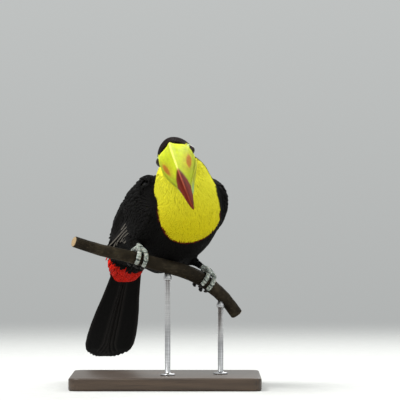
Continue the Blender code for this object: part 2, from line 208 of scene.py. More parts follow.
def finished(
    name: str,
    source: bmesh.types.BMesh | bpy.types.Mesh,
    material: Material,
    slot: str,
    stands_for: Sequence[str] = (),
) -> bpy.types.Object:
    """Makes a piece of the bird or its stand, riding with the model.

    Args:
        name: The piece's name.
        source: Its shape.
        material: Its finish.
        slot: The record's material slot that the finish belongs to; not used.
        stands_for: CAD nodes that the piece replaces.

    Returns:
        The new object.
    """
    mesh = source
    if isinstance(source, bmesh.types.BMesh):
        mesh = bpy.data.meshes.new(name)
        source.to_mesh(mesh)
        source.free()
    mesh.materials.clear()
    mesh.materials.append(material)
    mesh.shade_smooth()
    piece = bpy.data.objects.new(name, mesh)
    bpy.context.scene.collection.objects.link(piece)
    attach(piece, "root")
    if stands_for:
        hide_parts(*stands_for)
    LOG.info("%s: %d faces", name, len(mesh.polygons))
    return piece


def gaps(tree: BVHTree, points: Array) -> Array:
    """How far points are from a tree's surface."""
    return np.array([tree.find_nearest(Vector(p))[3] for p in points])


def set_colours(mesh: bpy.types.Mesh, colours: Array) -> None:
    """Stores a colour for each vertex, as the attribute tint.

    Args:
        mesh: The mesh.
        colours: One linear RGB row for each vertex.
    """
    rows = np.ones((len(mesh.vertices), 4), np.float32)
    rows[:, :3] = colours
    mesh.color_attributes.new("tint", "FLOAT_COLOR", "POINT").data.foreach_set("color", rows.ravel())


def set_values(mesh: bpy.types.Mesh, values: Array, name: str) -> None:
    """Stores a number, or a row of three, for each vertex."""
    kind, field = ("FLOAT", "value") if values.ndim == 1 else ("FLOAT_VECTOR", "vector")
    mesh.attributes.new(name, kind, "POINT").data.foreach_set(field, values.astype(np.float32).ravel())


def read(items: bpy.types.bpy_prop_collection, field: str, width: int, kind: type = np.float32) -> Array:
    """Reads a mesh's own numbers.

    Args:
        items: Its vertices, edges, loops or triangles.
        field: What to read of each.
        width: How many numbers each has.
        kind: The numbers' type.

    Returns:
        One row for each item.
    """
    rows = np.empty(len(items) * width, kind)
    items.foreach_get(field, rows)
    return rows.reshape(-1, width)


def vertex_rows(mesh: bpy.types.Mesh) -> tuple[Array, Array]:
    """The places and normals of a mesh's vertices."""
    both = ((mesh.vertices, "co"), (mesh.vertex_normals, "vector"))
    return tuple(read(items, field, 3).astype(float) for items, field in both)


def moved(mesh: bpy.types.Mesh, points: Array) -> tuple[Array, Array]:
    """Moves a mesh's vertices.

    Args:
        mesh: The mesh.
        points: Where they go.

    Returns:
        The places and normals, read back.
    """
    mesh.vertices.foreach_set("co", points.ravel())
    mesh.update()
    return vertex_rows(mesh)


def edge_rows(mesh: bpy.types.Mesh) -> Array:
    """The two ends of each edge."""
    return read(mesh.edges, "vertices", 2, np.int32)


def relaxed(values: Array, edges: Array, rounds: int, share: float | Array = 0.5) -> Array:
    """Evens out values over a mesh's neighbours.

    Args:
        values: A number or a row for each vertex.
        edges: The mesh's edges.
        rounds: How often.
        share: How far each value moves to its neighbours' mean, one number or one for each vertex.

    Returns:
        The evened values.
    """
    values = np.array(values, float)
    column = values.ndim == 1
    if column:
        values = values[:, None]
    count = np.bincount(edges.ravel(), minlength=len(values))[:, None].clip(1)
    share = np.asarray(share, float)
    share = share[:, None] if share.ndim else share
    for _ in range(rounds):
        total = np.zeros_like(values)
        for a, b in ((0, 1), (1, 0)):
            for c in range(values.shape[1]):
                total[:, c] += np.bincount(edges[:, a], values[edges[:, b], c], len(values))
        values += share * (total / count - values)
    return values[:, 0] if column else values


def remeshed(bm: bmesh.types.BMesh, size: float) -> bpy.types.Mesh:
    """A mesh of even small quads over a closed shape.

    Args:
        bm: The shape, which is freed.
        size: The quads' size.

    Returns:
        The new mesh.
    """
    mesh = bpy.data.meshes.new("form")
    bm.to_mesh(mesh)
    bm.free()
    form = bpy.data.objects.new("form", mesh)
    bpy.context.scene.collection.objects.link(form)
    modifier = form.modifiers.new("even", "REMESH")
    modifier.mode, modifier.voxel_size, modifier.adaptivity = "VOXEL", size, 0.0
    graph = bpy.context.evaluated_depsgraph_get()
    made = bpy.data.meshes.new_from_object(form.evaluated_get(graph))
    bpy.data.objects.remove(form)
    return made


def rounded(
    node: str, size: float, rounds: int, back: int, share: float
) -> tuple[bpy.types.Mesh, Array, Array, Array]:
    """A fine mesh of one CAD node with its facets evened out and its bulk kept.

    Args:
        node: The node.
        size: The quads' size.
        rounds: How often the vertices are evened.
        back: How often the way back is evened.
        share: How much of the way back is taken.

    Returns:
        The mesh, its edges, and its vertices' places and normals.
    """
    mesh = remeshed(merged_copy(node), size)
    edges = edge_rows(mesh)
    start, _ = vertex_rows(mesh)
    points = relaxed(start, edges, rounds)
    points += relaxed(start - points, edges, back) * share
    return mesh, edges, *moved(mesh, points)


# ---------------------------------------------------------------- finishes


class Shader:
    """A material being wired: a Principled shader with patterns run into it."""

    def __init__(self, name: str, **inputs: float) -> None:
        """Starts the material.

        Args:
            name: Its name.
            inputs: Constant values by socket name, with _ for a space.
        """
        self.material = bpy.data.materials.new(name)
        self.material.use_nodes = True
        self.tree = self.material.node_tree
        self.surface = self.tree.nodes["Principled BSDF"]
        for key, value in inputs.items():
            self.surface.inputs[key.replace("_", " ")].default_value = value

    def wire(self, source: Socket, target: Socket) -> None:
        """Links two sockets."""
        self.tree.links.new(source, target)

    def node(self, kind: str, *given: object, **settings: object) -> bpy.types.Node:
        """Adds a node.

        Args:
            kind: The node's type, without ShaderNode.
            given: What its first inputs take: sockets, values, or None to leave one alone.
            settings: Its properties.

        Returns:
            The node.
        """
        made = self.tree.nodes.new("ShaderNode" + kind)
        for key, value in settings.items():
            setattr(made, key, value)
        for target, value in zip(made.inputs, given):
            if isinstance(value, Socket):
                self.wire(value, target)
            elif value is not None:
                target.default_value = value
        return made

    def value(self, name: str, output: str = "Fac") -> Socket:
        """One of the mesh's attributes."""
        return self.node("Attribute", attribute_type="GEOMETRY", attribute_name=name).outputs[output]

    def place(self, *scale: float, uv: str = "") -> Socket:
        """The object's own coordinates or a UV map's, each axis scaled if scales are given."""
        source = self.node("UVMap", uv_map=uv).outputs[0] if uv else self.node("TexCoord").outputs["Object"]
        return self.node("Mapping", source, None, None, scale or (1, 1, 1)).outputs[0]

    def grain(self, at: Socket, scale: float, detail: float = 3.0, rough: float = 0.5) -> Socket:
        """Noise from 0 to 1 at coordinates, with finer layers of a number and a strength."""
        return self.node("TexNoise", at, None, scale, detail, rough).outputs["Fac"]

    def cells(self, at: Socket, scale: float, feature: str = "F1") -> Socket:
        """The distance to a cell's middle, or to its edge."""
        return self.node("TexVoronoi", at, None, scale, feature=feature).outputs["Distance"]

    def maths(self, what: str, a: Socket, b: Socket | float = 0.0, c: Socket | float | None = None) -> Socket:
        """One sum on sockets or numbers."""
        return self.node("Math", a, b, c, operation=what).outputs[0]

    def stretch(self, source: Socket, low: float, high: float) -> Socket:
        """Spreads low to high out over 0 to 1."""
        return self.node("MapRange", source, low, high).outputs[0]

    def product(self, a: Socket, b: Socket | float) -> Socket:
        """Two values multiplied."""
        return self.maths("MULTIPLY", a, b)

    def waves(self, source: Socket, rate: float) -> Socket:
        """A sine wave from 0 to 1."""
        return self.maths("MULTIPLY_ADD", self.maths("SINE", self.product(source, rate)), 0.5, 0.5)

    def ramp(self, fac: Socket, *stops: tuple[float, Colour | float]) -> Socket:
        """A colour ramp.

        Args:
            fac: What it reads.
            stops: Positions with their colours or greys.

        Returns:
            The colour socket.
        """
        made = self.node("ValToRGB", fac)
        elements = made.color_ramp.elements
        while len(elements) < len(stops):
            elements.new(0.5)
        for element, (position, colour) in zip(elements, stops):
            element.position = position
            element.color = (*colour, 1) if isinstance(colour, tuple) else (colour, colour, colour, 1)
        return made.outputs[0]

    def mixed(self, fac: Socket | float, a: Socket | Colour, b: Socket | Colour, how: str = "MIX") -> Socket:
        """Mixes two colours."""
        a, b = ((*given, 1) if isinstance(given, tuple) else given for given in (a, b))
        return self.node("MixRGB", fac, a, b, blend_type=how).outputs[0]

    def times(self, a: Socket | Colour, b: Socket | Colour, fac: Socket | float = 1.0) -> Socket:
        """One colour darkened by another."""
        return self.mixed(fac, a, b, "MULTIPLY")

    def end(self, colour: Socket, rough: Socket | None = None, low: float = 0, high: float = 1) -> Material:
        """Sends the colour and, if it varies, the roughness to the surface.

        Args:
            colour: The colour.
            rough: What the roughness follows, from 0 to 1, or None to keep it even.
            low: The roughness at 0.
            high: The roughness at 1.

        Returns:
            The material.
        """
        self.wire(colour, self.surface.inputs["Base Color"])
        if rough:
            spread = self.node("MapRange", rough, None, None, low, high).outputs[0]
            self.wire(spread, self.surface.inputs["Roughness"])
        return self.material

    def bump(self, height: Socket, strength: float, distance: float) -> None:
        """Adds fine relief over any that is there.

        Args:
            height: The height pattern.
            strength: From 0 to 1.
            distance: The relief's depth in metres.
        """
        made = self.node("Bump")
        for key, value in (("Strength", strength), ("Distance", distance)):
            made.inputs[key].default_value = value
        normal = self.surface.inputs["Normal"]
        if normal.is_linked:
            self.wire(normal.links[0].from_socket, made.inputs["Normal"])
        self.wire(height, made.inputs["Height"])
        self.wire(made.outputs[0], normal)


# ---------------------------------------------------------------- landmarks and skin


class Bearings:
    """Where things are on the bird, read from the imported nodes."""

    SLABS = 9
    TIP_DROP = math.atan2(28, 139)
    BIB_FACING = (0.1, -0.94, 0.33)
    TIP_CORNERS = 20
    NECK_START = 0.024

    def __init__(self) -> None:
        """Finds the head's axes, the line through the body and the bib's border."""
        left, right = middle("eye_left"), middle("eye_right")
        self.eyes, self.left = (left + right) / 2, unit(left - right)
        bill = corner_points("bill_upper")
        tip = bill[np.argmax(np.linalg.norm(bill - self.eyes, axis=1))] - self.eyes
        level = unit(tip - (tip @ self.left) * self.left)
        over = np.cross(level, self.left)
        c, s = math.cos(self.TIP_DROP), math.sin(self.TIP_DROP)
        self.forward, self.up = c * level + s * over, c * over - s * level
        self.axes = np.array((self.forward, self.left, self.up))
        self.bib_facing = unit(np.array(self.BIB_FACING))
        self.bib_end = (corner_points("neck") @ self.bib_facing).min()
        self.spine = self._spine()
        self.tangents = unit(np.gradient(self.spine, axis=0))
        sides = unit(np.cross(self.tangents, (0, 0, 1)))
        share = np.clip(1 - np.arange(len(self.spine)) / 3, 0, 1)[:, None]
        self.sides = unit(share * self.left + (1 - share) * sides)
        self.backs = unit(np.cross(self.sides, self.tangents))

    def _spine(self) -> Array:
        """The line through the body from the bill's root to the tail's tip.

        Returns:
            Its points.
        """
        flesh = corner_points("neck", "trunk")
        start, end = self.eyes - self.NECK_START * self.forward, middle("undertail_coverts")
        axis = unit(end - start)
        along = (flesh - start) @ axis
        cuts = np.linspace(along.min() + 0.004, along.max() - 0.002, self.SLABS + 1)
        rows = [self.eyes + 0.011 * self.forward, self.eyes - 0.012 * self.forward - 0.002 * self.up]
        for low, high in zip(cuts[:-1], cuts[1:]):
            slab = flesh[(along >= low) & (along <= high)]
            rows.append((slab.min(0) + slab.max(0)) / 2)
        tail = corner_points("tail")
        rows = np.array([*rows, end, tail[np.argsort(tail @ axis)[-self.TIP_CORNERS :]].mean(0)])
        rows[2:-2] = rows[2:-2] / 2 + (rows[1:-3] + rows[3:-1]) / 4
        return rows

    def in_head(self, points: Array) -> Array:
        """Points in millimetres from between the eyes: forward, left and up."""
        return (points - self.eyes) @ self.axes.T / MM

    def from_head(self, rows: Array) -> Array:
        """World points from rows in millimetres, forward, left and up of between the eyes."""
        return self.eyes + rows * MM @ self.axes

    def beside(self, points: Array) -> tuple[Array, Array, Array]:
        """What the body's line says near points.

        Args:
            points: World points.

        Returns:
            The way the coat lies, the height round the body (1 on the back, -1 on the belly), and how far
            along the line each point is, in rows of the spine.
        """
        start, span = self.spine[:-1], np.diff(self.spine, axis=0)
        t = np.einsum("ijk,jk->ij", points[:, None] - start, span) / (span**2).sum(1)
        t = np.clip(t, 0, 1)
        feet = start + t[..., None] * span
        gap = np.linalg.norm(points[:, None] - feet, axis=2)
        here = np.arange(len(points)), gap.argmin(1)
        weight = (gap / gap.min(1, keepdims=True)) ** -8.0
        weight /= weight.sum(1, keepdims=True)
        lie, back = (unit(weight @ ((v[:-1] + v[1:]) / 2)) for v in (self.tangents, self.backs))
        away = without(points - feet[here], lie)
        return lie, dot(unit(away), back), here[1] + t[here]


@dataclass(frozen=True)
class Markings:
    """The plumage's colours, and where each lies.

    Places are in millimetres from the eyes. Only back_line isn't: it says how far down the body's sides
    the black back comes, by rows of the spine, with 1 on the back and -1 on the belly.
    """

    black: Colour = (0.0075, 0.0072, 0.0070)
    maroon: Colour = (0.0125, 0.0072, 0.0070)
    # Yellow is the lower bib's colour and lemon the upper bib's; the step between them is partly painted
    # shade.
    yellow: Colour = (0.70, 0.60, 0.012)
    lemon: Colour = (0.92, 0.87, 0.050)
    red: Colour = (0.62, 0.018, 0.010)
    cream: Colour = (0.80, 0.72, 0.50)
    face: Colour = (0.42, 0.56, 0.10)
    leg: Colour = (0.36, 0.38, 0.35)
    band: float = 1.5
    bib_drop: float = 7.0
    bib_top: float = -30.0
    bib_rows: tuple[float, ...] = (-97, -95, -91, -85, -78, -69, -58, -47, -41, -28, -21, -8, 6)
    bib_left: tuple[float, ...] = (
        16, 8.8, -3.3, -8.8, -13.2, -14.9, -16.5, -17.6, -20.9, -23.1, -22, -18.7, -15,
    )  # fmt: skip
    bib_right: tuple[float, ...] = (
        16, 23.1, 33.6, 40.7, 45.1, 48.4, 47.3, 44.5, 42.9, 40.7, 38.5, 31.9, 23.1,
    )  # fmt: skip
    vent_line: Rows = ((-72, -108), (-62.7, -121.6), (-52.8, -128.8), (-38.5, -127.7))
    crown_line: Rows = ((-36, -16), (-22, -9), (-12, 1.5), (0, 8.8), (12, 9.6))
    back_line: Rows = ((1.5, 0.34), (2.5, 0.27), (3.5, 0.13), (5, 0.08), (9, 0.1))

    def bare(self, head: Array) -> Array:
        """How bare the face is.

        Args:
            head: Points in the head's own millimetres.

        Returns:
            One on the naked skin round each eye, zero on feathers.
        """
        reach = np.hypot((head[:, 0] - 1.5) / 10.5, (head[:, 2] - 0.2) / 8.6)
        lores = np.hypot((head[:, 0] - 11) / 5.5, (head[:, 2] + 1) / 11.0)
        return ease(-np.minimum(reach, lores), -1.12, -0.92) * ease(np.abs(head[:, 1]), 7, 11)

    def paint(self, bearings: Bearings, points: Array, part: Array) -> Array:
        """The coat's colour at points.

        Args:
            bearings: The bird's landmarks.
            points: World points.
            part: The index of the part each point belongs to.

        Returns:
            Linear colours.
        """
        head = bearings.in_head(points)
        across, depth, up = ((points - bearings.eyes) / MM).T
        _, height, row = bearings.beside(points)
        ragged = ripple(points, 0.006, 3) * 0.9 + ripple(points, 0.0022, 4) * 0.7
        trunk, rump, vent = (among(part, p) for p in (Part.TRUNK, Part.RUMP, Part.VENT))

        dark_head = ease(head[:, 2] + ragged * 0.8 - table(self.crown_line, head[:, 0]), -0.6, 0.6)
        dark_back = ease(height + ragged * 0.03 - table(self.back_line, row), -0.03, 0.03)
        dark_back = np.maximum(dark_back, ease(depth + ragged - 31, -0.8, 0.8))
        on_head = among(part, Part.HEAD) | (head[:, 0] > -21)
        dark = np.where(on_head, dark_head, np.maximum(dark_back, dark_head * (head[:, 0] > -34)))
        dark = np.maximum(dark, among(part, Part.WING_LEFT, Part.WING_RIGHT))

        left, right = (np.interp(up, self.bib_rows, side) for side in (self.bib_left, self.bib_right))
        inside = np.minimum(np.minimum(across - left, right - across), up - self.bib_rows[0])
        below = (points @ bearings.bib_facing - bearings.bib_end) / MM + self.bib_drop
        below = np.minimum(below, inside + 2 * ~trunk) + ragged * 0.35
        below = np.where(up > self.bib_top, np.where(trunk, np.minimum(inside, 9), 9), below)
        bib = ease(below, -0.4, 0.4)
        belt = ease(below, -self.band - 0.6, -self.band + 0.6) * (1 - bib) * (1 - dark) * ease(-up, 48, 74)

        # The bib goes from lemon high up to deeper yellow lower down: partly the plumage's own deeper gold
        # towards the belly, partly painted shade.
        paler_higher = ease(points[:, 2], 0.17, 0.235)[:, None]
        colour = painted(
            np.tile(self.black, (len(points), 1)),
            (self.maroon, ease(-row, -4.8, -1.5) * ease(height, 0.1, 0.8)),
            (np.array(self.yellow) * (1 - paler_higher) + np.array(self.lemon) * paler_higher, bib * (1 - dark)),
            # The red band below the bib is painted much darker than its own red: the darkening is painted
            # shade.
            (np.array(self.red) * 0.42, belt * 0.6),
        )
        colour[rump | (trunk & (row > 10.4) & (height > 0.5))] = self.cream
        colour[vent | (rump & (height < 0.62))] = self.red
        colour[vent & (up - table(self.vent_line, across) + ragged * 1.5 > 0)] = self.black
        return colour


class Skin:
    """The one skin under the coat: body, wings, thighs and feet in one closed mesh.

    DEPTHS and DEPTH say how thick the coat is. Each row of PUFFS raises the coat, and each of PRESSES
    sinks the skin, round a place seen from the front: across and up from the eyes, its reach and its
    height. NAPE raises the coat round a place in the head's axes. All of them are in millimetres.
    """

    VOXEL = 0.00125
    PUFFS = (
        (-31, -24, 12, 4.5), (-46, -35, 14, 3.5), (-59, -48, 15, 5.6), (53, -38, 16, 1.2), (31, -8, 9, 1.6),
        (-66, -116, 12, 7.0), (-18, -124, 12, 3.5),
    )  # fmt: skip
    PRESSES = ((-73, -88, 16, 3.2),)
    NAPE = (-36, 0, -13, 15, 5.5)
    DEPTHS = {Part.HEAD: 0.9, Part.NECK: 1.5, Part.WING_LEFT: 1.7, Part.WING_RIGHT: 1.7, Part.THIGH: 1.6}
    DEPTH = 1.8
    CUFF_DEPTH = 0.0012
    CUFF_FROM_SHANK, CUFF_FROM_THIGH = 0.002, 0.0100
    FOOT_SHARE, BODY_SHARE = 0.12, 0.5
    FLOW_ROUNDS = 80
    WIDE_HOLLOW, SMALL_HOLLOW = (300, 0.009), (70, 0.0035)
    TOE_MARGIN, TOE_RADIUS = 0.006, 11.0
    PERCH_REACH = 0.03
    BAKE_MAP = "OFBake"

    def __init__(self, bearings: Bearings, markings: Markings) -> None:
        """Builds the mesh and reads off what the coat needs.

        Args:
            bearings: The bird's landmarks.
            markings: The plumage's colours.
        """
        self.bearings, self.markings = bearings, markings
        trees = [BVHTree.FromBMesh(merged_copy(*p.value)) for p in PARTS]
        self.mesh = remeshed(merged_copy(*FLESH), self.VOXEL)
        edges = edge_rows(self.mesh)
        points, _ = vertex_rows(self.mesh)
        near = np.array([gaps(tree, points) for tree in trees])
        self.part = near.argmin(0)
        self.foot = foot = among(self.part, Part.FOOT)

        share = relaxed(np.where(foot, self.FOOT_SHARE, self.BODY_SHARE), edges, 4)
        points = relaxed(points, edges, 6, share)
        normals = relaxed(moved(self.mesh, points)[1], edges, 2)
        self.bare = markings.bare(bearings.in_head(points)) * among(self.part, Part.HEAD)
        depth = np.array([self.DEPTHS.get(p, self.DEPTH) for p in PARTS])[self.part] * ~foot
        depth = relaxed(depth * (1 - 0.8 * self.bare), edges, 5) * ~foot
        sunk = (depth + self._humps(points, self.PRESSES) * ~foot)[:, None]
        self.points = np.where(foot[:, None], points, points - unit(normals) * sunk * MM)
        self.normals = unit(relaxed(moved(self.mesh, self.points)[1], edges, 2))
        self.flow = unit(relaxed(self.normals, edges, self.FLOW_ROUNDS))

        shank = gaps(BVHTree.FromBMesh(merged_copy("shank_left", "shank_right")), points)
        thigh = near[PARTS.index(Part.THIGH)]
        self.cuff = foot & (shank < self.CUFF_FROM_SHANK) & (thigh < self.CUFF_FROM_THIGH)
        self.depth = np.where(self.cuff, self.CUFF_DEPTH, depth * MM)
        _, height, row = bearings.beside(self.points)
        nape = ease(height, 0.1, 0.5) * ease(-row, -4.8, -3.2)
        wide, hollow = self._hollow(edges, *self.WIDE_HOLLOW) * nape, self._hollow(edges, *self.SMALL_HOLLOW)
        self.fill = relaxed(np.maximum(hollow, wide) * ~foot, edges, 8)
        *place, reach, push = self.NAPE
        self.puff = self._humps(self.points, self.PUFFS, MM) * ~foot
        self.puff += np.exp(-((bearings.in_head(self.points) - place) ** 2).sum(1) / reach**2) * push * MM
        self.colours = markings.paint(bearings, points, self.part)
        faces = [tuple(f.vertices) for f in self.mesh.polygons]
        self.tree = BVHTree.FromPolygons([Vector(p) for p in self.points], faces)

    def _humps(self, points: Array, places: Sequence[Sequence[float]], size: float = 1.0) -> Array:
        """Adds up bells round places seen from the front, their heights scaled by size."""
        across, _, up = ((points - self.bearings.eyes) / MM).T
        return sum(np.exp(-((across - x) ** 2 + (up - z) ** 2) / r**2) * h * size for x, z, r, h in places)

    def _hollow(self, edges: Array, rounds: int, most: float) -> Array:
        """How deep each vertex lies under the skin evened over some rounds, up to a most."""
        return np.clip(dot(relaxed(self.points, edges, rounds) - self.points, self.normals), 0, most)

    def finish(self) -> None:
        """Unwraps and colours the mesh and shows it in place of the flesh nodes."""
        mesh = self.mesh
        colours = painted(self.colours, (self.markings.face, self.bare))
        colours[self.foot & ~self.cuff] = self.markings.leg
        set_colours(mesh, colours)
        set_values(mesh, self.bare, "bare")
        set_values(mesh, relaxed(self.foot.astype(float), edge_rows(mesh), 1), "foot")
        set_values(mesh, self._toe_turn() + 1.3 * ripple(self.points, 0.003, 12), "turn")
        skin = finished("skin", mesh, skin_finish(), "plumage_black", FLESH)
        bpy.context.view_layer.objects.active = skin
        skin.select_set(True)
        mesh.uv_layers.new(name=self.BAKE_MAP)
        bpy.ops.object.mode_set(mode="EDIT")
        bpy.ops.mesh.select_all(action="SELECT")
        bpy.ops.uv.smart_project(angle_limit=math.radians(66), island_margin=0.002)
        bpy.ops.object.mode_set(mode="OBJECT")
        skin.select_set(False)
        self.uv = np.zeros((len(mesh.vertices), 2))
        vertex = read(mesh.loops, "vertex_index", 1, np.int32)[:, 0]
        self.uv[vertex] = read(mesh.uv_layers[self.BAKE_MAP].data, "uv", 2)

    def _toe_turn(self) -> Array:
        """Measures how far round the branch the toes' vertices are.

        Returns:
            Millimetres along the toe, and zero on the rest of the skin.
        """
        perch = corner_points("perch")
        turn = np.zeros(len(self.points))
        for node in ("foot_left", "foot_right"):
            low, high = (np.array(c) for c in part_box(node))
            mine = ((self.points > low - self.TOE_MARGIN) & (self.points < high + self.TOE_MARGIN)).all(1)
            hub = (low + high) / 2
            near = perch[np.linalg.norm(perch - hub, axis=1) < self.PERCH_REACH]
            axis = np.linalg.svd(near - near.mean(0))[2][0]
            side = unit(np.cross(axis, (0, 0, 1.0)))
            away = self.points[mine] - hub
            turn[mine] = np.arctan2(away @ side, away @ np.cross(side, axis)) * self.TOE_RADIUS
        return turn


# ---------------------------------------------------------------- feathers


@dataclass
class Lay:
    """Where a batch of feathers lies, one row for each, with a place for each ring.

    Every blade is bowed across by bow, reaches its full width at the share full of its length, and is as
    wide as neck of that at its root. Edge is how pale its rim is, or 1 or -1 for a pale band of painted sheen
    on one side.
    """

    centres: Array
    outward: Array
    across: Array
    width: Array
    tint: Array
    uv: Array
    edge: Array
    thickness: float = 0.00011
    bow: float = 0.22
    full: float = 0.55
    neck: float = 0.45


class Vane:
    """A thin closed feather blade: a many-sided ring drawn out along unit length."""

    BAKE_SIZE = 0.003
    UNDERSIDE = 0.6
    THINNING = ((0, 1), (0.5, 0.8), (1, 0.3))

    def __init__(self, stations: Sequence[float], sides: int = 4) -> None:
        """Makes the blade that every copy repeats.

        Args:
            stations: Where its rings are, from 0 at the root to 1 at the tip.
            sides: How many sides its section has.
        """
        bm = bmesh.new()
        bmesh.ops.create_circle(bm, segments=sides, radius=1)
        edges = bm.edges[:]
        for level in stations[1:]:
            made = bmesh.ops.extrude_edge_only(bm, edges=edges)["geom"]
            for vert in (g for g in made if isinstance(g, bmesh.types.BMVert)):
                vert.co.z = level
            edges = [g for g in made if isinstance(g, bmesh.types.BMEdge)]
        bmesh.ops.holes_fill(bm, edges=[e for e in bm.edges if e.is_boundary], sides=0)
        bmesh.ops.recalc_face_normals(bm, faces=bm.faces)
        corners = np.array([v.co[:] for v in bm.verts])
        self.stations = np.asarray(stations, float)
        self.across, self.rise = corners[:, 0], corners[:, 1]
        self.ring = np.abs(corners[:, 2][:, None] - self.stations).argmin(1)
        self.sizes = np.array([len(face.loops) for face in bm.faces])
        self.flat = np.array([loop.vert.index for face in bm.faces for loop in face.loops])
        bm.free()

    def copies(self, name: str, lay: Lay) -> bpy.types.Mesh:
        """One mesh of many feathers.

        Args:
            name: The mesh's name.
            lay: Where and how big each one is.

        Returns:
            The mesh, with its UV maps Vane and OFBake, and the attributes tint and edge.
        """
        count, corners, t = len(lay.centres), len(self.ring), self.stations
        tip = np.sqrt(np.clip(1 - ((t - lay.full) / (1.02 - lay.full)).clip(0) ** 2, 0, 1))
        wide = (lay.neck + (1 - lay.neck) * ease(t, 0.0, lay.full)) * tip
        thick = np.where(self.rise > 0, 1.0, self.UNDERSIDE) * table(self.THINNING, t)[self.ring]
        centres, outward, across = (a[:, self.ring] for a in (lay.centres, lay.outward, lay.across))
        half = lay.width[:, None] * wide[self.ring] / 2
        rise = self.rise * thick * lay.thickness - lay.bow * half * self.across**2
        points = centres + across * (half * self.across)[..., None] + outward * rise[..., None]

        mesh = bpy.data.meshes.new(name)
        copy = np.arange(count)[:, None]
        mesh.vertices.add(count * corners)
        mesh.vertices.foreach_set("co", points.astype(np.float32).ravel())
        mesh.loops.add(count * len(self.flat))
        mesh.loops.foreach_set("vertex_index", (self.flat + corners * copy).astype(np.int32).ravel())
        mesh.polygons.add(count * len(self.sizes))
        starts = np.cumsum(self.sizes) - self.sizes + len(self.flat) * copy
        mesh.polygons.foreach_set("loop_start", starts.astype(np.int32).ravel())
        mesh.update(calc_edges=True)
        own = np.stack([self.across[self.flat] / 2 + 0.5, t[self.ring[self.flat]]], 1)
        bake = lay.uv[:, None] + self.BAKE_SIZE * (own - 0.5)
        for layer, rows in (("Vane", np.tile(own, (count, 1))), (Skin.BAKE_MAP, bake)):
            mesh.uv_layers.new(name=layer).data.foreach_set("uv", rows.astype(np.float32).ravel())
        mesh.uv_layers[Skin.BAKE_MAP].active = True
        set_colours(mesh, np.repeat(lay.tint, corners, axis=0))
        set_values(mesh, np.repeat(lay.edge, corners), "edge")
        return mesh


SMALL = Vane((0, 0.35, 0.72, 0.93, 1.0))
LONG = Vane((0, 0.12, 0.26, 0.4, 0.54, 0.68, 0.8, 0.9, 0.96, 1.0), 8)
TAIL = Vane(LONG.stations, 12)


@dataclass(frozen=True)
class Zone:
    """Feathers strewn over one part of the skin.

    Lengths, in millimetres, are read by rows of the spine, and width and spacing are shares of them. From
    low to high is the height round the body, and last the last row. Wander is in degrees, vary is the
    spread of the tint, and lift is the height of root and tip as shares of the coat's depth.
    """

    name: str
    parts: tuple[Part, ...]
    rows: tuple[float, ...]
    lengths: tuple[float, ...]
    width: float
    spacing: float
    slot: str = "plumage_black"
    low: float = -2.0
    high: float = 2.0
    wander: float = 6.0
    vary: float = 0.09
    lift: tuple[float, float] = (0.25, 1.0)
    last: float = 99.0


def wing_zone(side: str) -> Zone:
    """The small coverts of one wing, down to the row of the spine where quills show."""
    part, rows, lengths = Part["WING_" + side.upper()], (2, 4, 7, 11), (8, 10, 13, 15)
    return Zone("coat_wing_" + side, (part,), rows, lengths, 0.5, 0.22, last=6.55)


ZONES = (
    Zone("coat_head", (Part.HEAD,), (0, 0.5, 1, 2), (3.0, 4.4, 6, 7.5), 0.28, 0.15),
    Zone(
        "coat_neck", (Part.NECK,), (1, 2, 4, 6), (5.5, 7, 8, 9), 0.25, 0.127, "plumage_yellow",
        vary=0.04, lift=(0.3, 0.85),
    ),
    Zone(
        "coat_breast", (Part.TRUNK,), (2, 5, 8, 11), (7, 7.5, 11, 14), 0.28, 0.145,
        high=0.1, vary=0.05, lift=(0.3, 0.85),
    ),
    Zone("coat_back", (Part.TRUNK,), (2, 5, 8, 11), (7, 9, 12, 14), 0.32, 0.15, low=0.1),
    Zone(
        "coat_vent", (Part.VENT,), (9, 11), (12, 15), 0.22, 0.12, "plumage_red",
        wander=3.5, lift=(0.2, 0.7),
    ),
    Zone(
        "coat_rump", (Part.RUMP,), (9, 11), (11, 15), 0.24, 0.12, "plumage_cream",
        wander=3.0, lift=(0.15, 0.55),
    ),
    Zone("coat_thighs", (Part.THIGH, Part.FOOT), (0, 9), (9, 9), 0.26, 0.13),
    *(wing_zone(side) for side in HANDS),
)  # fmt: skip


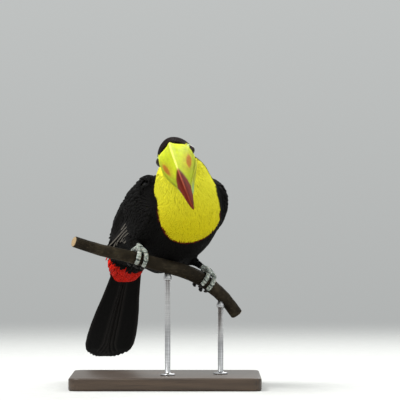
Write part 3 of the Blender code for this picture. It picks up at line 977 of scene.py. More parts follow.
class Coat:
    """Every feather that lies on the skin."""

    NEIGHBOURS = [(x, y, z) for x in (-1, 0, 1) for y in (-1, 0, 1) for z in (-1, 0, 1)]
    TRIES = 5
    MOST_BARE = 0.35
    SHOULDER = 0.22
    TINTED_RING = 2
    PALEST_RIM = 0.5
    LENGTHS, WIDTHS, PUFF_STRETCH = (0.9, 1.1), (0.85, 1.15), 80

    def __init__(self, skin: Skin) -> None:
        """Starts the coat.

        Args:
            skin: The skin it grows from.
        """
        self.skin, self.bearings, self.markings = skin, skin.bearings, skin.markings
        self.random = np.random.default_rng(SEED)
        skin.mesh.calc_loop_triangles()
        self.corners = read(skin.mesh.loop_triangles, "vertices", 3, np.int32)
        self.polygon_corners = [tuple(f.vertices) for f in skin.mesh.polygons]
        _, self.height, self.row = self.bearings.beside(skin.points)

    def near(self, points: Array) -> tuple[Array, Array]:
        """The closest places on the skin.

        Args:
            points: World points.

        Returns:
            Those places, and the index of a skin vertex at each.
        """
        found = [self.skin.tree.find_nearest(Vector(p)) for p in points]
        places = np.array([f[0] for f in found])
        faces = [self.polygon_corners[f[2]] for f in found]
        rows = np.array([(f + f[:1])[:4] for f in faces])
        gap = np.linalg.norm(self.skin.points[rows] - places[:, None], axis=2)
        return places, rows[np.arange(len(rows)), gap.argmin(1)]

    def roots(self, zone: Zone) -> tuple[Array, Array]:
        """Strews roots over a zone, none too close to another.

        Args:
            zone: Which feathers.

        Returns:
            The roots, and a skin vertex at each.
        """
        skin = self.skin
        mine = among(skin.part, *zone.parts) & (skin.bare < self.MOST_BARE) & (~skin.foot | skin.cuff)
        mine &= (self.height >= zone.low) & (self.height <= zone.high)
        mine &= (self.row <= zone.last) | (self.height > self.SHOULDER)
        curve = (zone.rows, zone.lengths)
        length = cubic(*curve, self.row) if len(zone.rows) > 2 else np.interp(self.row, *curve)
        triangles = self.corners[mine[self.corners[:, 0]]]
        a, b, c = skin.points[triangles].transpose(1, 0, 2)
        area = np.linalg.norm(np.cross(b - a, c - a), axis=1) / 2
        gap = zone.spacing * length[triangles[:, 0]] * MM
        share = area / gap**2
        tries = int(share.sum() * self.TRIES)
        pick = self.random.choice(len(triangles), tries, p=share / share.sum())
        u, v = self.random.random((2, tries))
        flip = u + v > 1
        u[flip], v[flip] = 1 - u[flip], 1 - v[flip]
        places = a[pick] + u[:, None] * (b - a)[pick] + v[:, None] * (c - a)[pick]

        grid: dict[tuple[int, int, int], list[int]] = {}
        keys = np.floor(places / gap[pick].max()).astype(int)
        kept = []
        for k, (x, y, z) in enumerate(keys):
            near = [j for i, m, n in self.NEIGHBOURS for j in grid.get((x + i, y + m, z + n), ())]
            if near and (((places[near] - places[k]) ** 2).sum(1) < gap[pick[k]] ** 2).any():
                continue
            grid.setdefault((x, y, z), []).append(k)
            kept.append(k)
        return places[kept], triangles[pick[kept], 0]

    def drape(
        self, roots: Array, vertex: Array, length: Array, turn: Array, lift: tuple[float, float]
    ) -> tuple[Array, Array, Array, Array]:
        """Lays small blades along the skin from their roots.

        Args:
            roots: Where each starts.
            vertex: A skin vertex at each root.
            length: Each one's length, in metres.
            turn: How far each turns from the lie of the coat, in radians.
            lift: The height of root and tip, as shares of the coat's depth.

        Returns:
            Ring centres, outward and across directions, and a skin vertex under each ring.
        """
        skin, stations = self.skin, SMALL.stations
        place, at = roots, vertex
        rings = []
        for step in (*np.diff(stations), 0):
            normal = skin.normals[at]
            lie = unit(without(self.bearings.beside(place)[0], normal))
            lie = np.cos(turn)[:, None] * lie + np.sin(turn)[:, None] * np.cross(normal, lie)
            rings.append((place, normal, lie, at))
            if step:
                place, at = self.near(place + lie * (length * step)[:, None])
        places, outward, ahead, under = (np.stack(r, 1) for r in zip(*rings))
        rise = lift[0] + (lift[1] - lift[0]) * stations**0.7
        height = skin.depth[under] * rise + skin.fill[under] * np.clip(rise * 0.8 + 0.3, 0, 1)
        centres = places + outward * height[..., None]
        centres += skin.flow[under] * (skin.puff[under] * (0.15 + 0.85 * rise))[..., None]
        return centres, outward, unit(np.cross(ahead, outward)), under

    def strew(self, zone: Zone) -> None:
        """Covers a zone with feathers.

        Args:
            zone: Which feathers.
        """
        roots, vertex = self.roots(zone)
        draw, count = self.random, len(roots)
        length = np.interp(self.row[vertex], zone.rows, zone.lengths) * MM
        length *= draw.uniform(*self.LENGTHS, count) * (1 + self.PUFF_STRETCH * self.skin.puff[vertex])
        turn = draw.normal(0, math.radians(zone.wander), count)
        centres, outward, across, under = self.drape(roots, vertex, length, turn, zone.lift)
        ring = self.TINTED_RING
        tint = self.markings.paint(self.bearings, centres[:, ring], self.skin.part[under[:, ring]])
        tint *= draw.uniform(1 - zone.vary, 1 + zone.vary, count)[:, None]
        edge = self.PALEST_RIM * draw.random(count)
        width = length * zone.width * draw.uniform(*self.WIDTHS, count)
        lay = Lay(centres, outward, across, width, tint, self.skin.uv[vertex], edge)
        finished(zone.name, SMALL.copies(zone.name, lay), plumage_finish(), zone.slot)


@dataclass(frozen=True)
class Quills:
    """One row of a wing's long feathers.

    Its start and end are shares of the wing's length, top and bottom of its breadth. The end shifts by
    spread along the row, counted from pivot. Width and lift are in millimetres.
    """

    count: int
    start: float
    end: float
    spread: float
    top: float
    bottom: float
    width: float
    lift: float
    pivot: float = 0.0
    drift: float = 0.0


QUILLS = (
    Quills(9, 0.40, 0.86, 0.05, 0.84, 0.35, 13, 0.7),
    Quills(6, 0.36, 1.10, 0.12, 0.38, 0.0, 11, 0.5, 1.0, 0.10),
    Quills(13, 0.30, 0.52, 0.05, 0.88, 0.05, 9, 0.9),
    Quills(15, 0.20, 0.36, 0.05, 0.88, 0.05, 8, 1.0),
)


@dataclass
class Remiges:
    """The long feathers of one folded wing, laid in rows from its lower edge to the back.

    From the share held of the wing's length on, the fan grows no wider. Rays start outside the body's
    line, and a ray that misses the skin ends at deepest from it.
    """

    coat: Coat
    side: str
    lean: float = math.radians(9)
    cuts: int = 12
    held: float = 0.74
    outside: float = 0.12
    deepest: float = 0.03
    narrowing: float = 0.25
    puff_share: float = 0.7
    evenings: int = 3
    vary: tuple[float, float] = (0.8, 1.2)

    def __post_init__(self) -> None:
        """Measures the wing."""
        self.hand, coat = HANDS[self.side], self.coat
        bearings, skin = coat.bearings, coat.skin
        mine = among(skin.part, Part["WING_" + self.side.upper()])
        rows = coat.row[mine]
        away = skin.points[mine] - between(rows, bearings.spine)
        aside, back = (dot(away, between(rows, lines)) for lines in (bearings.sides, bearings.backs))
        angle = np.degrees(np.arctan2(aside * self.hand, back))
        self.first, last = np.percentile(rows, (1, 99.5))
        self.span = last - self.first
        levels = np.linspace(self.first, last, self.cuts)
        self.mids = (levels[:-1] + levels[1:]) / 2
        cuts = [angle[(rows >= a) & (rows <= b)] for a, b in zip(levels[:-1], levels[1:])]
        self.low, self.high = np.array([np.percentile(cut, (96, 4)) for cut in cuts]).T

    def _row(self, quills: Quills) -> tuple[Array, Array, Array, Array]:
        """Lays one row of feathers.

        Args:
            quills: The row.

        Returns:
            Ring centres, outward and across directions, and a skin vertex at each root.
        """
        coat, bearings, hand = self.coat, self.coat.bearings, self.hand
        skin, t, count = coat.skin, LONG.stations, quills.count
        k = ((np.arange(count) + 0.5) / count)[:, None]
        share = quills.bottom + (quills.top - quills.bottom) * k
        begin = self.first + self.span * quills.start
        finish = self.first + self.span * (quills.end + quills.spread * (k - quills.pivot))
        row = begin + (finish - begin) * t
        held = np.minimum(row, self.first + self.held * self.span)
        lower, upper = (np.interp(held, self.mids, side) for side in (self.low, self.high))
        slip = share * (1 - self.narrowing * t) + quills.drift * t
        turn = (np.radians(lower + (upper - lower) * slip) * hand)[..., None]
        hub, side, back = (between(row, v) for v in (bearings.spine, bearings.sides, bearings.backs))
        ray = unit(np.cos(turn) * back + np.sin(turn) * side)

        hits = []
        for one, way in zip(hub.reshape(-1, 3), ray.reshape(-1, 3)):
            hit = skin.tree.ray_cast(Vector(one + way * self.outside), Vector(-way))[0]
            hits.append(hit or Vector(one + way * self.deepest))
        centres, vertex = coat.near(np.array(hits))
        outward, puff = skin.normals[vertex], skin.flow[vertex] * skin.puff[vertex][:, None] * self.puff_share
        centres, outward, puff = (a.reshape(count, -1, 3) for a in (centres, outward, puff))
        seat = centres.copy()
        for _ in range(self.evenings):
            outward[:, 1:-1] = unit(outward[:, 1:-1] * 2 + outward[:, :-2] + outward[:, 2:])
            centres[:, 1:-1] = centres[:, 1:-1] / 2 + (centres[:, :-2] + centres[:, 2:]) / 4
        centres += outward * np.maximum(0, dot(seat - centres, outward)[..., None])
        rise = (quills.lift + k) * MM * (0.4 + 0.6 * ease(t, 0, 0.35))
        centres = centres + outward * rise[..., None] + puff
        across = unit(np.cross(unit(np.gradient(centres, axis=1)), outward))
        c, s = math.cos(self.lean * hand), math.sin(self.lean * hand)
        across, outward = across * c + outward * s, outward * c - across * s
        return centres, outward, across, vertex.reshape(count, -1)[:, 0]

    def build(self) -> None:
        """Lays the quills and the two rows of coverts over their roots."""
        centres, outward, across, root = (np.concatenate(a) for a in zip(*map(self._row, QUILLS)))
        counts = [row.count for row in QUILLS]
        width = np.repeat([row.width * MM for row in QUILLS], counts)
        # The second row's quills get a pale band of painted sheen along one side.
        edge = np.repeat((0.1, self.hand, 0.1, 0.05), counts)
        draws = self.coat.random.uniform(*self.vary, (len(root), 1))
        tint = np.tile(self.coat.markings.black, (len(root), 1)) * draws
        uv = self.coat.skin.uv[root]
        lay = Lay(centres, outward, across, width, tint, uv, edge, 0.00022, 0.18, 0.5, 0.6)
        name = "quills_" + self.side
        finished(name, LONG.copies(name, lay), plumage_finish(), "plumage_black")


@dataclass(frozen=True)
class Tail:
    """Ten tail feathers fanned in the tail's own plane, the middle pair on top."""

    pairs: int = 5
    width: float = 0.024
    inset: float = 0.004
    stagger: float = 0.013
    slice: float = 0.025
    margin: float = 0.40
    layering: float = 0.0007
    droop: float = 0.002
    tilt: float = 0.10

    def build(self, coat: Coat) -> None:
        """Lays the feathers over the CAD tail.

        Args:
            coat: The coat they belong to.
        """
        points = corner_points("tail")
        hub = points.mean(0)
        length, wide, _ = np.linalg.svd(points - hub)[2]
        length = -length if length[2] > 0 else length
        wide = -wide if wide @ coat.bearings.sides[-1] < 0 else wide
        deep = np.cross(wide, length)
        u, v, w = ((points - hub) @ a for a in (length, wide, deep))
        t, count = LONG.stations, 2 * self.pairs
        root = u.min() + self.inset
        rows = []
        for k in range(count):
            pair = abs(k - (count - 1) / 2) - 0.5
            hand = -1 if k < self.pairs else 1
            share = (pair + 0.5) / self.pairs
            far = u.max() + self.inset - self.stagger * (pair / (self.pairs - 1)) ** 1.6
            along = root + (far - u.min() - self.inset) * t
            near = [v[np.abs(u - a) < self.slice] for a in along]
            low, high = (np.array([end(cut) for cut in near]) for end in (np.min, np.max))
            reach = ((high - low) / 2 - self.width * self.margin).clip(self.inset)
            lateral = (high + low) / 2 + hand * share * reach * (0.9 + 0.1 * t)
            level = np.median(w) + (2.0 - pair) * self.layering - self.droop * share**2
            centre = hub + along[:, None] * length + lateral[:, None] * wide + level * deep
            up = unit(deep + wide * hand * share * self.tilt)
            across = unit(np.cross(unit(np.gradient(centre, axis=0)), up))
            rows.append((centre, np.tile(up, (len(t), 1)), across))
        centres, outward, across = (np.array(r) for r in zip(*rows))
        black = np.tile(np.array(coat.markings.black) * 0.9, (count, 1))
        tint = black * coat.random.uniform(0.85, 1.1, (count, 1))
        uv = coat.skin.uv[coat.near(centres[:, 0])[1]]
        width, edge = np.full(count, self.width), np.full(count, 0.35)
        lay = Lay(centres, outward, across, width, tint, uv, edge, 0.0006, 0.06, 0.86, 0.6)
        mesh = TAIL.copies("tail_feathers", lay)
        finished("tail_feathers", mesh, plumage_finish(), "plumage_black", ("tail",))


# ---------------------------------------------------------------- the finishes used


@cache
def plumage_finish() -> Material:
    """Feathers: the blade's own tint with barbs, a shaft, a paler rim, and on some quills a pale band of
    painted sheen along one side.

    Returns:
        The material.
    """
    made = Shader("plumage", Roughness=0.62, Specular_IOR_Level=0.015)
    aside, along, _ = made.node("SeparateXYZ", made.place(uv="Vane")).outputs
    aside = made.maths("MULTIPLY_ADD", aside, 2.0, -1.0)
    out = made.maths("ABSOLUTE", aside)
    barbs = made.waves(made.maths("SUBTRACT", made.product(along, 26.0), made.product(out, 7.0)), 6.283)
    tint, edge = made.value("tint", "Color"), made.value("edge")
    mottle = made.maths("MULTIPLY_ADD", barbs, 0.5, made.grain(made.place(), 900, 2))
    base = made.times(tint, made.ramp(mottle, (0, 0.84), (1, 1.10)))
    rim = made.product(made.stretch(out, 0.62, 0.92), made.maths("ABSOLUTE", edge))
    base = made.mixed(made.product(rim, 0.8), base, made.mixed(1.0, tint, (0.040, 0.035, 0.032), "ADD"))
    # Painted sheen: blades whose edge is 1 or -1 get a pale band along one side, fading before the tip.
    sheen_stripe = made.stretch(made.product(aside, edge), 0.66, 0.84)
    short = made.stretch(along, 0.97, 0.84)
    base = made.mixed(made.product(sheen_stripe, short), base, (0.21, 0.19, 0.165))
    shaft = made.product(made.stretch(out, 0.10, 0.03), 0.35)
    made.bump(barbs, 0.35, 0.0002)
    return made.end(made.times(base, (0.9, 0.9, 0.9), shaft), barbs, 0.5, 0.68)


@cache
def skin_finish() -> Material:
    """Skin: down under the coat, wrinkles on the face, and scutes on toes and shanks, with painted shade in
    the grooves between scutes.

    Returns:
        The material.
    """
    depth = {"Subsurface_Weight": 0.05, "Subsurface_Scale": 0.002}
    made = Shader("skin", Roughness=0.55, Specular_IOR_Level=0.15, **depth)
    foot, turn, tint = made.value("foot"), made.value("turn"), made.value("tint", "Color")
    groove = made.stretch(made.waves(turn, 2.3), 0.0, 0.22)
    ridges = made.maths("SINE", made.product(turn, 0.66))
    knuckle = made.ramp(ridges, (0.80, 1), (0.98, (0.28, 0.30, 0.30)))
    # Painted shade: the grooves between scutes are painted darker.
    scutes = made.times(made.mixed(groove, (0.60, 0.61, 0.60), (1, 1, 1)), knuckle)
    blotch = made.ramp(made.grain(made.place(), 420, 4), (0.3, (0.42, 0.46, 0.46)), (0.7, (1.5, 1.5, 1.45)))
    legs = made.times(made.times(tint, blotch), scutes)
    fine = made.grain(made.place(), 1500, 3)
    down = made.times(tint, made.ramp(fine, (0.2, 0.7), (0.8, 1.2)))
    pebble = made.cells(made.place(), 1300, "DISTANCE_TO_EDGE")
    made.bump(made.product(pebble, made.value("bare")), 0.5, 0.0004)
    made.bump(made.product(groove, foot), 0.8, 0.0006)
    return made.end(made.mixed(foot, down, legs), fine, 0.38, 0.6)


@cache
def horn_finish(name: str, gloss: float) -> Material:
    """Horn: its own tint, faintly clouded, with growth lines.

    Args:
        name: The finish's name.
        gloss: Its roughness.

    Returns:
        The material.
    """
    made = Shader(name, Specular_IOR_Level=0.02)
    cloud = made.grain(made.place(1, 0.45, 1), 130, 5)
    line = made.grain(made.place(1, 0.06, 1), 700, 3)
    base = made.times(made.value("tint", "Color"), made.ramp(cloud, (0.25, 0.82), (0.75, 1.14)))
    made.bump(line, 0.12, 0.0003)
    return made.end(made.times(base, made.ramp(line, (0.3, 0.9), (0.7, 1.06))), cloud, gloss, gloss + 0.16)


@cache
def bark_finish() -> Material:
    """Bark in greys and browns with lenticels and lichen, and pale wood where it is sawn.

    Returns:
        The material.
    """
    made = Shader("bark", Roughness=0.85, Specular_IOR_Level=0.12)
    broad = made.grain(made.place(1, 1, 1), 38, 6, 0.6)
    fine = made.grain(made.place(0.35, 1, 1), 420, 5, 0.65)
    browns = (0.3, (0.009, 0.007, 0.004)), (0.5, (0.019, 0.014, 0.008)), (0.68, (0.050, 0.039, 0.024))
    base = made.ramp(broad, *browns)
    base = made.times(base, made.ramp(fine, (0.25, 0.55), (0.75, 1.3)))
    dots = made.ramp(made.cells(made.place(0.5, 1, 1), 260), (0.12, 1), (0.2, 0))
    base = made.mixed(made.product(dots, 0.3), base, (0.085, 0.066, 0.042))
    lichen = made.ramp(made.grain(made.place(), 75, 5, 0.7), (0.62, 0), (0.72, 1))
    base = made.mixed(made.product(lichen, 0.35), base, (0.10, 0.11, 0.06))
    rings = made.grain(made.value("ring", "Vector"), 900)
    wood = made.ramp(rings, (0.35, (0.28, 0.19, 0.10)), (0.65, (0.48, 0.35, 0.20)))
    made.bump(fine, 0.55, 0.0006)
    return made.end(made.mixed(made.value("cut"), base, wood), fine, 0.68, 0.9)


@cache
def walnut_finish() -> Material:
    """Dark varnished wood with grain along its length and open pores.

    Returns:
        The material.
    """
    made = Shader("stand_wood", Specular_IOR_Level=0.4, Coat_Weight=0.08, Coat_Roughness=0.3)
    warp = made.grain(made.place(1, 6, 6), 6, 2)
    rings = made.grain(made.place(2.2, 55, 30), 3.2, 6, 0.55)
    pores = made.grain(made.place(12, 900, 300), 1.0, 2)
    both = made.maths("MULTIPLY_ADD", rings, 0.8, made.product(warp, 0.2))
    browns = (0.3, (0.030, 0.018, 0.011)), (0.5, (0.058, 0.037, 0.024)), (0.7, (0.095, 0.062, 0.040))
    base = made.ramp(both, *browns)
    made.bump(pores, 0.25, 0.0003)
    return made.end(made.times(base, made.ramp(pores, (0.32, 0.62), (0.45, 1))), rings, 0.36, 0.52)


@cache
def steel_finish() -> Material:
    """Brushed steel, the brushing round each rod.

    Returns:
        The material.
    """
    made = Shader("stand_steel", Metallic=1.0)
    brush = made.grain(made.place(6, 6, 900), 1.0, 3)
    made.bump(brush, 0.15, 0.0001)
    return made.end(made.ramp(brush, (0.3, (0.36, 0.36, 0.37)), (0.7, (0.52, 0.52, 0.53))), brush, 0.26, 0.42)


@cache
def eye_finish() -> Material:
    """The eyeball: black pupil, dark brown iris with fine rays, and a wet surface.

    Returns:
        The material.
    """
    made = Shader("eye", Roughness=0.08, Specular_IOR_Level=0.28)
    rays = made.grain(made.place(), 1600, 3)
    iris = made.ramp(rays, (0.3, (0.008, 0.004, 0.003)), (0.7, (0.032, 0.014, 0.006)))
    ring = made.ramp(made.value("gaze"), (0.44, 0), (0.50, 1), (0.86, 1), (0.94, 0.1))
    return made.end(made.mixed(ring, (0.002, 0.002, 0.002), iris))


@cache
def lid_finish(face: Colour) -> Material:
    """Naked facial skin, pebbled, mottled about one colour.

    Args:
        face: The colour.

    Returns:
        The material.
    """
    made = Shader("naked_skin", Roughness=0.45, Specular_IOR_Level=0.45)
    fine = made.grain(made.place(), 900, 4)
    low, high = tuple(0.75 * c for c in face), tuple(min(1.2 * c, 1) for c in face)
    made.bump(made.cells(made.place(), 1500, "DISTANCE_TO_EDGE"), 0.5, 0.0003)
    return made.end(made.ramp(fine, (0.3, low), (0.7, high)), fine, 0.35, 0.55)


# ---------------------------------------------------------------- bill, eyes and claws


@dataclass
class Bill:
    """One half of the keeled bill, worked in the head's own millimetres."""

    bearings: Bearings
    half: str
    grain: float = 0.0007

    GREEN, FRESH, ROOT = (0.47, 0.56, 0.013), (0.60, 0.64, 0.020), (0.68, 0.70, 0.036)
    # The pale ridge tint paints a highlight along the ridge, and the gleam tint a highlight along the red
    # tip's ridge.
    FLAME, HALO, RIDGE = (0.50, 0.150, 0.014), (0.70, 0.50, 0.02), (0.95, 0.92, 0.28)
    GAPE, TOOTH, GLEAM = (0.07, 0.055, 0.010), (0.05, 0.035, 0.012), (0.30, 0.10, 0.06)
    TIP, LINE = (0.145, 0.012, 0.004), (0.010, 0.009, 0.008)
    BLUE, LOWER = (0.22, 0.44, 0.24), (0.50, 0.52, 0.022)
    # The seam tint paints a shadow line along the lower half's side.
    LOWER_ROOT, SEAM = (0.70, 0.66, 0.03), (0.045, 0.040, 0.010)
    RIDGE_AT = ((11, 20), (35, 23), (60, 22), (85, 15), (105, 5), (122, -9), (134, -20.5), (139, -27.5))
    EDGE_AT = ((11, -9), (35, -9), (60, -10.5), (85, -13), (105, -17), (122, -22), (134, -26), (139, -29))

    def __post_init__(self) -> None:
        """Makes a fine even mesh of the half and measures it."""
        self.mesh, _, points, normals = rounded("bill_" + self.half, self.grain, 10, 14, 0.9)
        self.rows, self.normals = self.bearings.in_head(points), normals @ self.bearings.axes.T
        x, _, z = self.rows.T
        self.over = z - table(self.EDGE_AT, x)
        self.line = ease(-x, -12.9, -12.2)
        self.rim = ease(-x, -15.5, -13.5)

    def _finish(self, push: Array, colour: Array, slot: str, gloss: float) -> None:
        """Moves each vertex along its normal, narrows the tip and makes the piece.

        Args:
            push: How far each vertex moves.
            colour: Each one's colour, but for the dark line at the root.
            slot: The half's material slot.
            gloss: Its roughness.
        """
        placed = self.rows + self.normals * push[:, None]
        placed[:, 1] *= 1 - np.where(placed[:, 1] > 0, 0.20, 0.06) * ease(placed[:, 0], 72, 100)
        moved(self.mesh, self.bearings.from_head(placed))
        set_colours(self.mesh, np.clip(painted(colour, (self.LINE, self.line)), 0, 1))
        horn = horn_finish("bill_horn" if self.half == "upper" else "bill_lower_horn", gloss)
        finished(f"bill_{self.half}_horn", self.mesh, horn, slot, ("bill_" + self.half,))

    def upper(self) -> None:
        """The upper half: ridge, side grooves, toothed edge, flame and dark red tip, with painted highlights
        along the ridge.
        """
        rows, over, side_on, up_on = self.rows, self.over, np.abs(self.normals[:, 1]), self.normals[:, 2]
        x, y, z = rows.T
        under_ridge = table(self.RIDGE_AT, x) - z
        side = ease(side_on, 0.45, 0.85)
        near_edge = ease(-over, -4.5, -1.0) * side
        tooth = (np.sin((x - 11) * 2 * math.pi / 5.2 + 0.6 * np.sin(x * 0.31)) + 1) / 2
        waves = np.array([noise.noise(Vector(r)) for r in rows * (0.03, 0.35, 0.35)])
        keel = hump(y, 1.6) * ease(up_on, 0.2, 0.7) * ease(x, 14, 26)
        groove = hump(np.abs(y) - 4.2, 1.6) * ease(up_on, 0.2, 0.6) * ease(-x, -118, -100)
        flute = hump(over - 6.5, 1.4) * side * ease(-x, -112, -90)
        push = 0.45 * keel - 0.35 * groove - 0.28 * flute - 0.55 * near_edge * tooth**3 * ease(-x, -120, -108)
        push += 0.35 * self.rim + 0.10 * waves

        mottle, broad = ripple(rows, 5.0, 5), ripple(rows * (0.4, 1, 1), 9.0, 6)
        paler_higher = ease(over, 4, 24) * 0.35 + 0.10 * broad
        flame = np.hypot((x - 52.5 - 0.4 * z) / 20, (z - 2.3 + (x - 52.5) * 0.10) / 5.3) + 0.16 * mottle
        flame = ease(-flame, -1.15, -0.62) * side
        halo = ease(-np.hypot((x - 58) / 34, (z - 3) / 9.0), -1.2, -0.5)
        # Painted highlights where the bill faces up: a pale line along the ridge and a pink gleam along the
        # red tip's ridge.
        lit_from_above = ease(up_on, 0.1, 0.6)
        teeth = near_edge * ease(tooth, 0.55, 0.85) * ease(x, 20, 30) * ease(-x, -112, -100)
        start = 97 + 1.3 * mottle - (0.35 - 0.35 * ease(y, 0, 5)) * under_ridge
        red = np.array(self.TIP) * (0.75 + 0.5 * ease(under_ridge, 0, 12))[:, None]
        red = red + np.array(self.GLEAM) * (hump(y, 0.6) * lit_from_above * (1 - 0.7 * ease(x, 104, 130)))[:, None]
        colour = painted(
            np.array(self.GREEN) * (1 - 0.12 * (1 - paler_higher[:, None])),
            (self.FRESH, np.clip(paler_higher, 0, 1)),
            (self.ROOT, 0.6 * ease(-x, -27, -12)),
            (self.FLAME, 0.92 * flame),
            (self.HALO, 0.35 * halo * (1 - flame) * side),
            (self.RIDGE, 0.6 * (hump(y, 0.8) * lit_from_above)),
            (self.GAPE, 0.6 * (hump(over - 0.2, 0.8) * side * ease(-x, -96, -80))),
            (self.TOOTH, 0.75 * teeth),
            (red, ease(x - start, -3.5, 4.0)),
        )
        self._finish(push * (1 - self.line * 0.6), colour, "bill_green", 0.42)

    def lower(self) -> None:
        """The lower half: pale blue-green with a dark red tip, a painted shadow line along its side and
        painted shade towards its underside.
        """
        x, y, _ = self.rows.T
        below = -self.over
        side = ease(np.abs(self.normals[:, 1]), 0.4, 0.8)
        keel = hump(y, 1.8) * ease(-self.normals[:, 2], 0.3, 0.7)
        cheek = ease(-x, -62, -30) * ease(-below, -9, -1) * side
        push = 0.4 * keel - 0.22 * (hump(below - 5.0, 1.2) * side) + 0.3 * self.rim + 1.7 * cheek

        mottle = ripple(self.rows, 6.0, 7)
        blue = ease(x, 58, 84) * (0.85 + 0.15 * mottle) * (0.25 + 0.75 * ease(below, 2, 8))
        colour = painted(
            np.array(self.LOWER),
            (self.BLUE, np.clip(blue, 0, 1)),
            (self.LOWER_ROOT, 0.6 * ease(-x, -30, -12)),
            # Painted shadow line along the side.
            (self.SEAM, 0.5 * (hump(below - 5.2, 0.9) * side * ease(-x, -90, -70))),
        )
        # Painted shade: darker towards the underside.
        colour *= 1 - 0.12 * ease(below, 5, 17)[:, None]
        colour = painted(colour, (self.TIP, ease(x - 96 - 2 * mottle, -4, 4)))
        self._finish(push, colour, "bill_blue", 0.44)


@dataclass(frozen=True)
class Eye:
    """One eye: a wet ball with its pupil, behind two lids of naked skin.

    The lids' profile is in millimetres: out from the eye's axis, and up along it.
    """

    side: str
    ball: float = 0.0062
    iris: float = 0.0050
    swell: float = 0.0005
    lid: float = 0.0003
    profile: Rows = (
        (8.2, 0.6), (7.4, 1.5), (6.6, 2.4), (6.1, 3.1), (5.75, 3.45), (5.5, 3.3), (5.4, 2.8),
    )  # fmt: skip

    def build(self, bearings: Bearings, face: Colour) -> None:
        """Makes the ball and the lids.

        Args:
            bearings: The bird's landmarks.
            face: The naked skin's colour.
        """
        out = unit(bearings.left * HANDS[self.side] + bearings.forward * 0.30 + bearings.up * 0.04)
        fore = unit(bearings.forward - (bearings.forward @ out) * out)
        turn = Matrix(np.array((fore, np.cross(out, fore), out)).T.tolist()).to_4x4()
        turn.translation = Vector(middle("eye_" + self.side))
        bm = bmesh.new()
        bmesh.ops.create_uvsphere(bm, u_segments=48, v_segments=32, radius=self.ball)
        for vert in bm.verts:
            reach = math.hypot(vert.co.x, vert.co.y) / self.iris
            if vert.co.z > 0 and reach < 1:
                vert.co.z += self.swell * (1 - reach * reach)
        gaze = np.array([math.hypot(*v.co[:2]) / self.iris if v.co.z > 0 else 2.0 for v in bm.verts])
        bmesh.ops.transform(bm, matrix=turn, verts=bm.verts)
        ball = finished("eye_ball_" + self.side, bm, eye_finish(), "eye", ("eye_" + self.side,))
        set_values(ball.data, gaze, "gaze")

        lids = self._lids()
        bmesh.ops.remove_doubles(lids, verts=lids.verts, dist=1e-6)
        bmesh.ops.solidify(lids, geom=lids.faces[:], thickness=self.lid)
        bmesh.ops.recalc_face_normals(lids, faces=lids.faces)
        bmesh.ops.transform(lids, matrix=turn, verts=lids.verts)
        finished("eye_lids_" + self.side, lids, lid_finish(face), "plumage_yellow")

    def _lids(self) -> bmesh.types.BMesh:
        """The lids' surface, from outside the rim, over it and back behind the ball's front.

        Returns:
            The surface as a bmesh.
        """
        bm = bmesh.new()
        bmesh.ops.create_grid(bm, x_segments=72, y_segments=18, size=0.5)
        around, along, _ = flat = (np.array([v.co[:] for v in bm.verts]) + 0.5).T
        layer = bm.loops.layers.uv.new("Lay")
        for loop in (loop for face in bm.faces for loop in face.loops):
            loop[layer].uv = flat[:2, loop.vert.index]
        a = around * 2 * math.pi
        k = along * (len(self.profile) - 1)
        r, h = (np.interp(k, range(len(self.profile)), side) for side in zip(*self.profile))
        crease = 0.12 * np.sin(k * 2.6) * hump(r - 6.8, 0.6) + 0.05 * np.sin(a * 31) * (r > 5.6)
        almond = 1 - 0.13 * np.abs(np.sin(a)) ** 1.5 + 0.05 * np.cos(a) ** 8
        points = np.stack([r * np.cos(a) * 1.04, r * np.sin(a) * almond, h + crease], 1) * MM
        for vert, point in zip(bm.verts, points):
            vert.co = point
        bmesh.ops.recalc_face_normals(bm, faces=bm.faces)
        return bm


@dataclass(frozen=True)
class Claws:
    """The claws of one foot, each joined to its toe."""

    side: str
    cuts: int = 2
    horn: Colour = (0.020, 0.018, 0.017)
    mottle: float = 0.8

    def build(self) -> None:
        """Rounds and colours them."""
        ends = [place + end for place in ("inner", "outer") for end in ("_front", "_back")]
        nodes = [f"claw_{self.side}_{end}" for end in ends]
        bm = merged_copy(*nodes)
        bmesh.ops.subdivide_edges(bm, edges=bm.edges, cuts=self.cuts, use_grid_fill=True, smooth=0.6)
        bmesh.ops.triangulate(bm, faces=bm.faces)
        mesh = finished("claws_" + self.side, bm, horn_finish("claw_horn", 0.3), "claw", nodes).data
        paler = 1 + self.mottle * ease(ripple(vertex_rows(mesh)[0], 0.002, 8), -0.2, 0.8)
        set_colours(mesh, np.array(self.horn) * paler[:, None])


# ---------------------------------------------------------------- branch, stand and studio


@dataclass(frozen=True)
class Perch:
    """The cut length of branch that the bird grips."""

    grain: float = 0.0009
    rings: int = 23
    side: Point = (0, 1.0, 0)

    def build(self) -> None:
        """Roughens the bark and marks the sawn ends."""
        mesh, edges, points, normals = rounded("perch", self.grain, 8, 10, 0.8)
        x = points[:, 0]
        low, high = x.min(), x.max()
        ring = np.clip(np.digitize(x, np.linspace(low, high, self.rings + 1)) - 1, 0, self.rings - 1)
        line = np.array([points[ring == k].mean(0) for k in range(self.rings)])
        axis = unit(np.gradient(line, axis=0))[ring]
        flat = relaxed(np.abs(dot(normals, axis)), edges, 1)
        cut = ease(flat, 0.72, 0.86) * ease(-np.minimum(x - low, high - x), -0.014, -0.009)
        away = without(points - line[ring], axis)
        turn = np.arctan2(dot(away, np.array(self.side)), dot(away, unit(np.cross(axis, self.side))))
        unrolled = np.stack([dot(points, axis) * 0.22, np.cos(turn) * 0.009, np.sin(turn) * 0.009], 1)
        ridge, lump = ripple(unrolled, 0.0022, 9), ripple(points, 0.014, 10)
        knot = hump(np.mod(x + 0.031, 0.058) - 0.029, 0.0026)
        push = (0.16 * ridge + 0.22 * lump + 0.30 * knot * (0.6 + 0.4 * lump)) * (1 - cut)
        moved(mesh, points + normals * push[:, None] * MM)
        set_values(mesh, cut, "cut")
        set_values(mesh, np.linalg.norm(away, axis=1)[:, None] * (1, 0, 0), "ring")
        finished("perch_bark", mesh, bark_finish(), "bark", ("perch",))


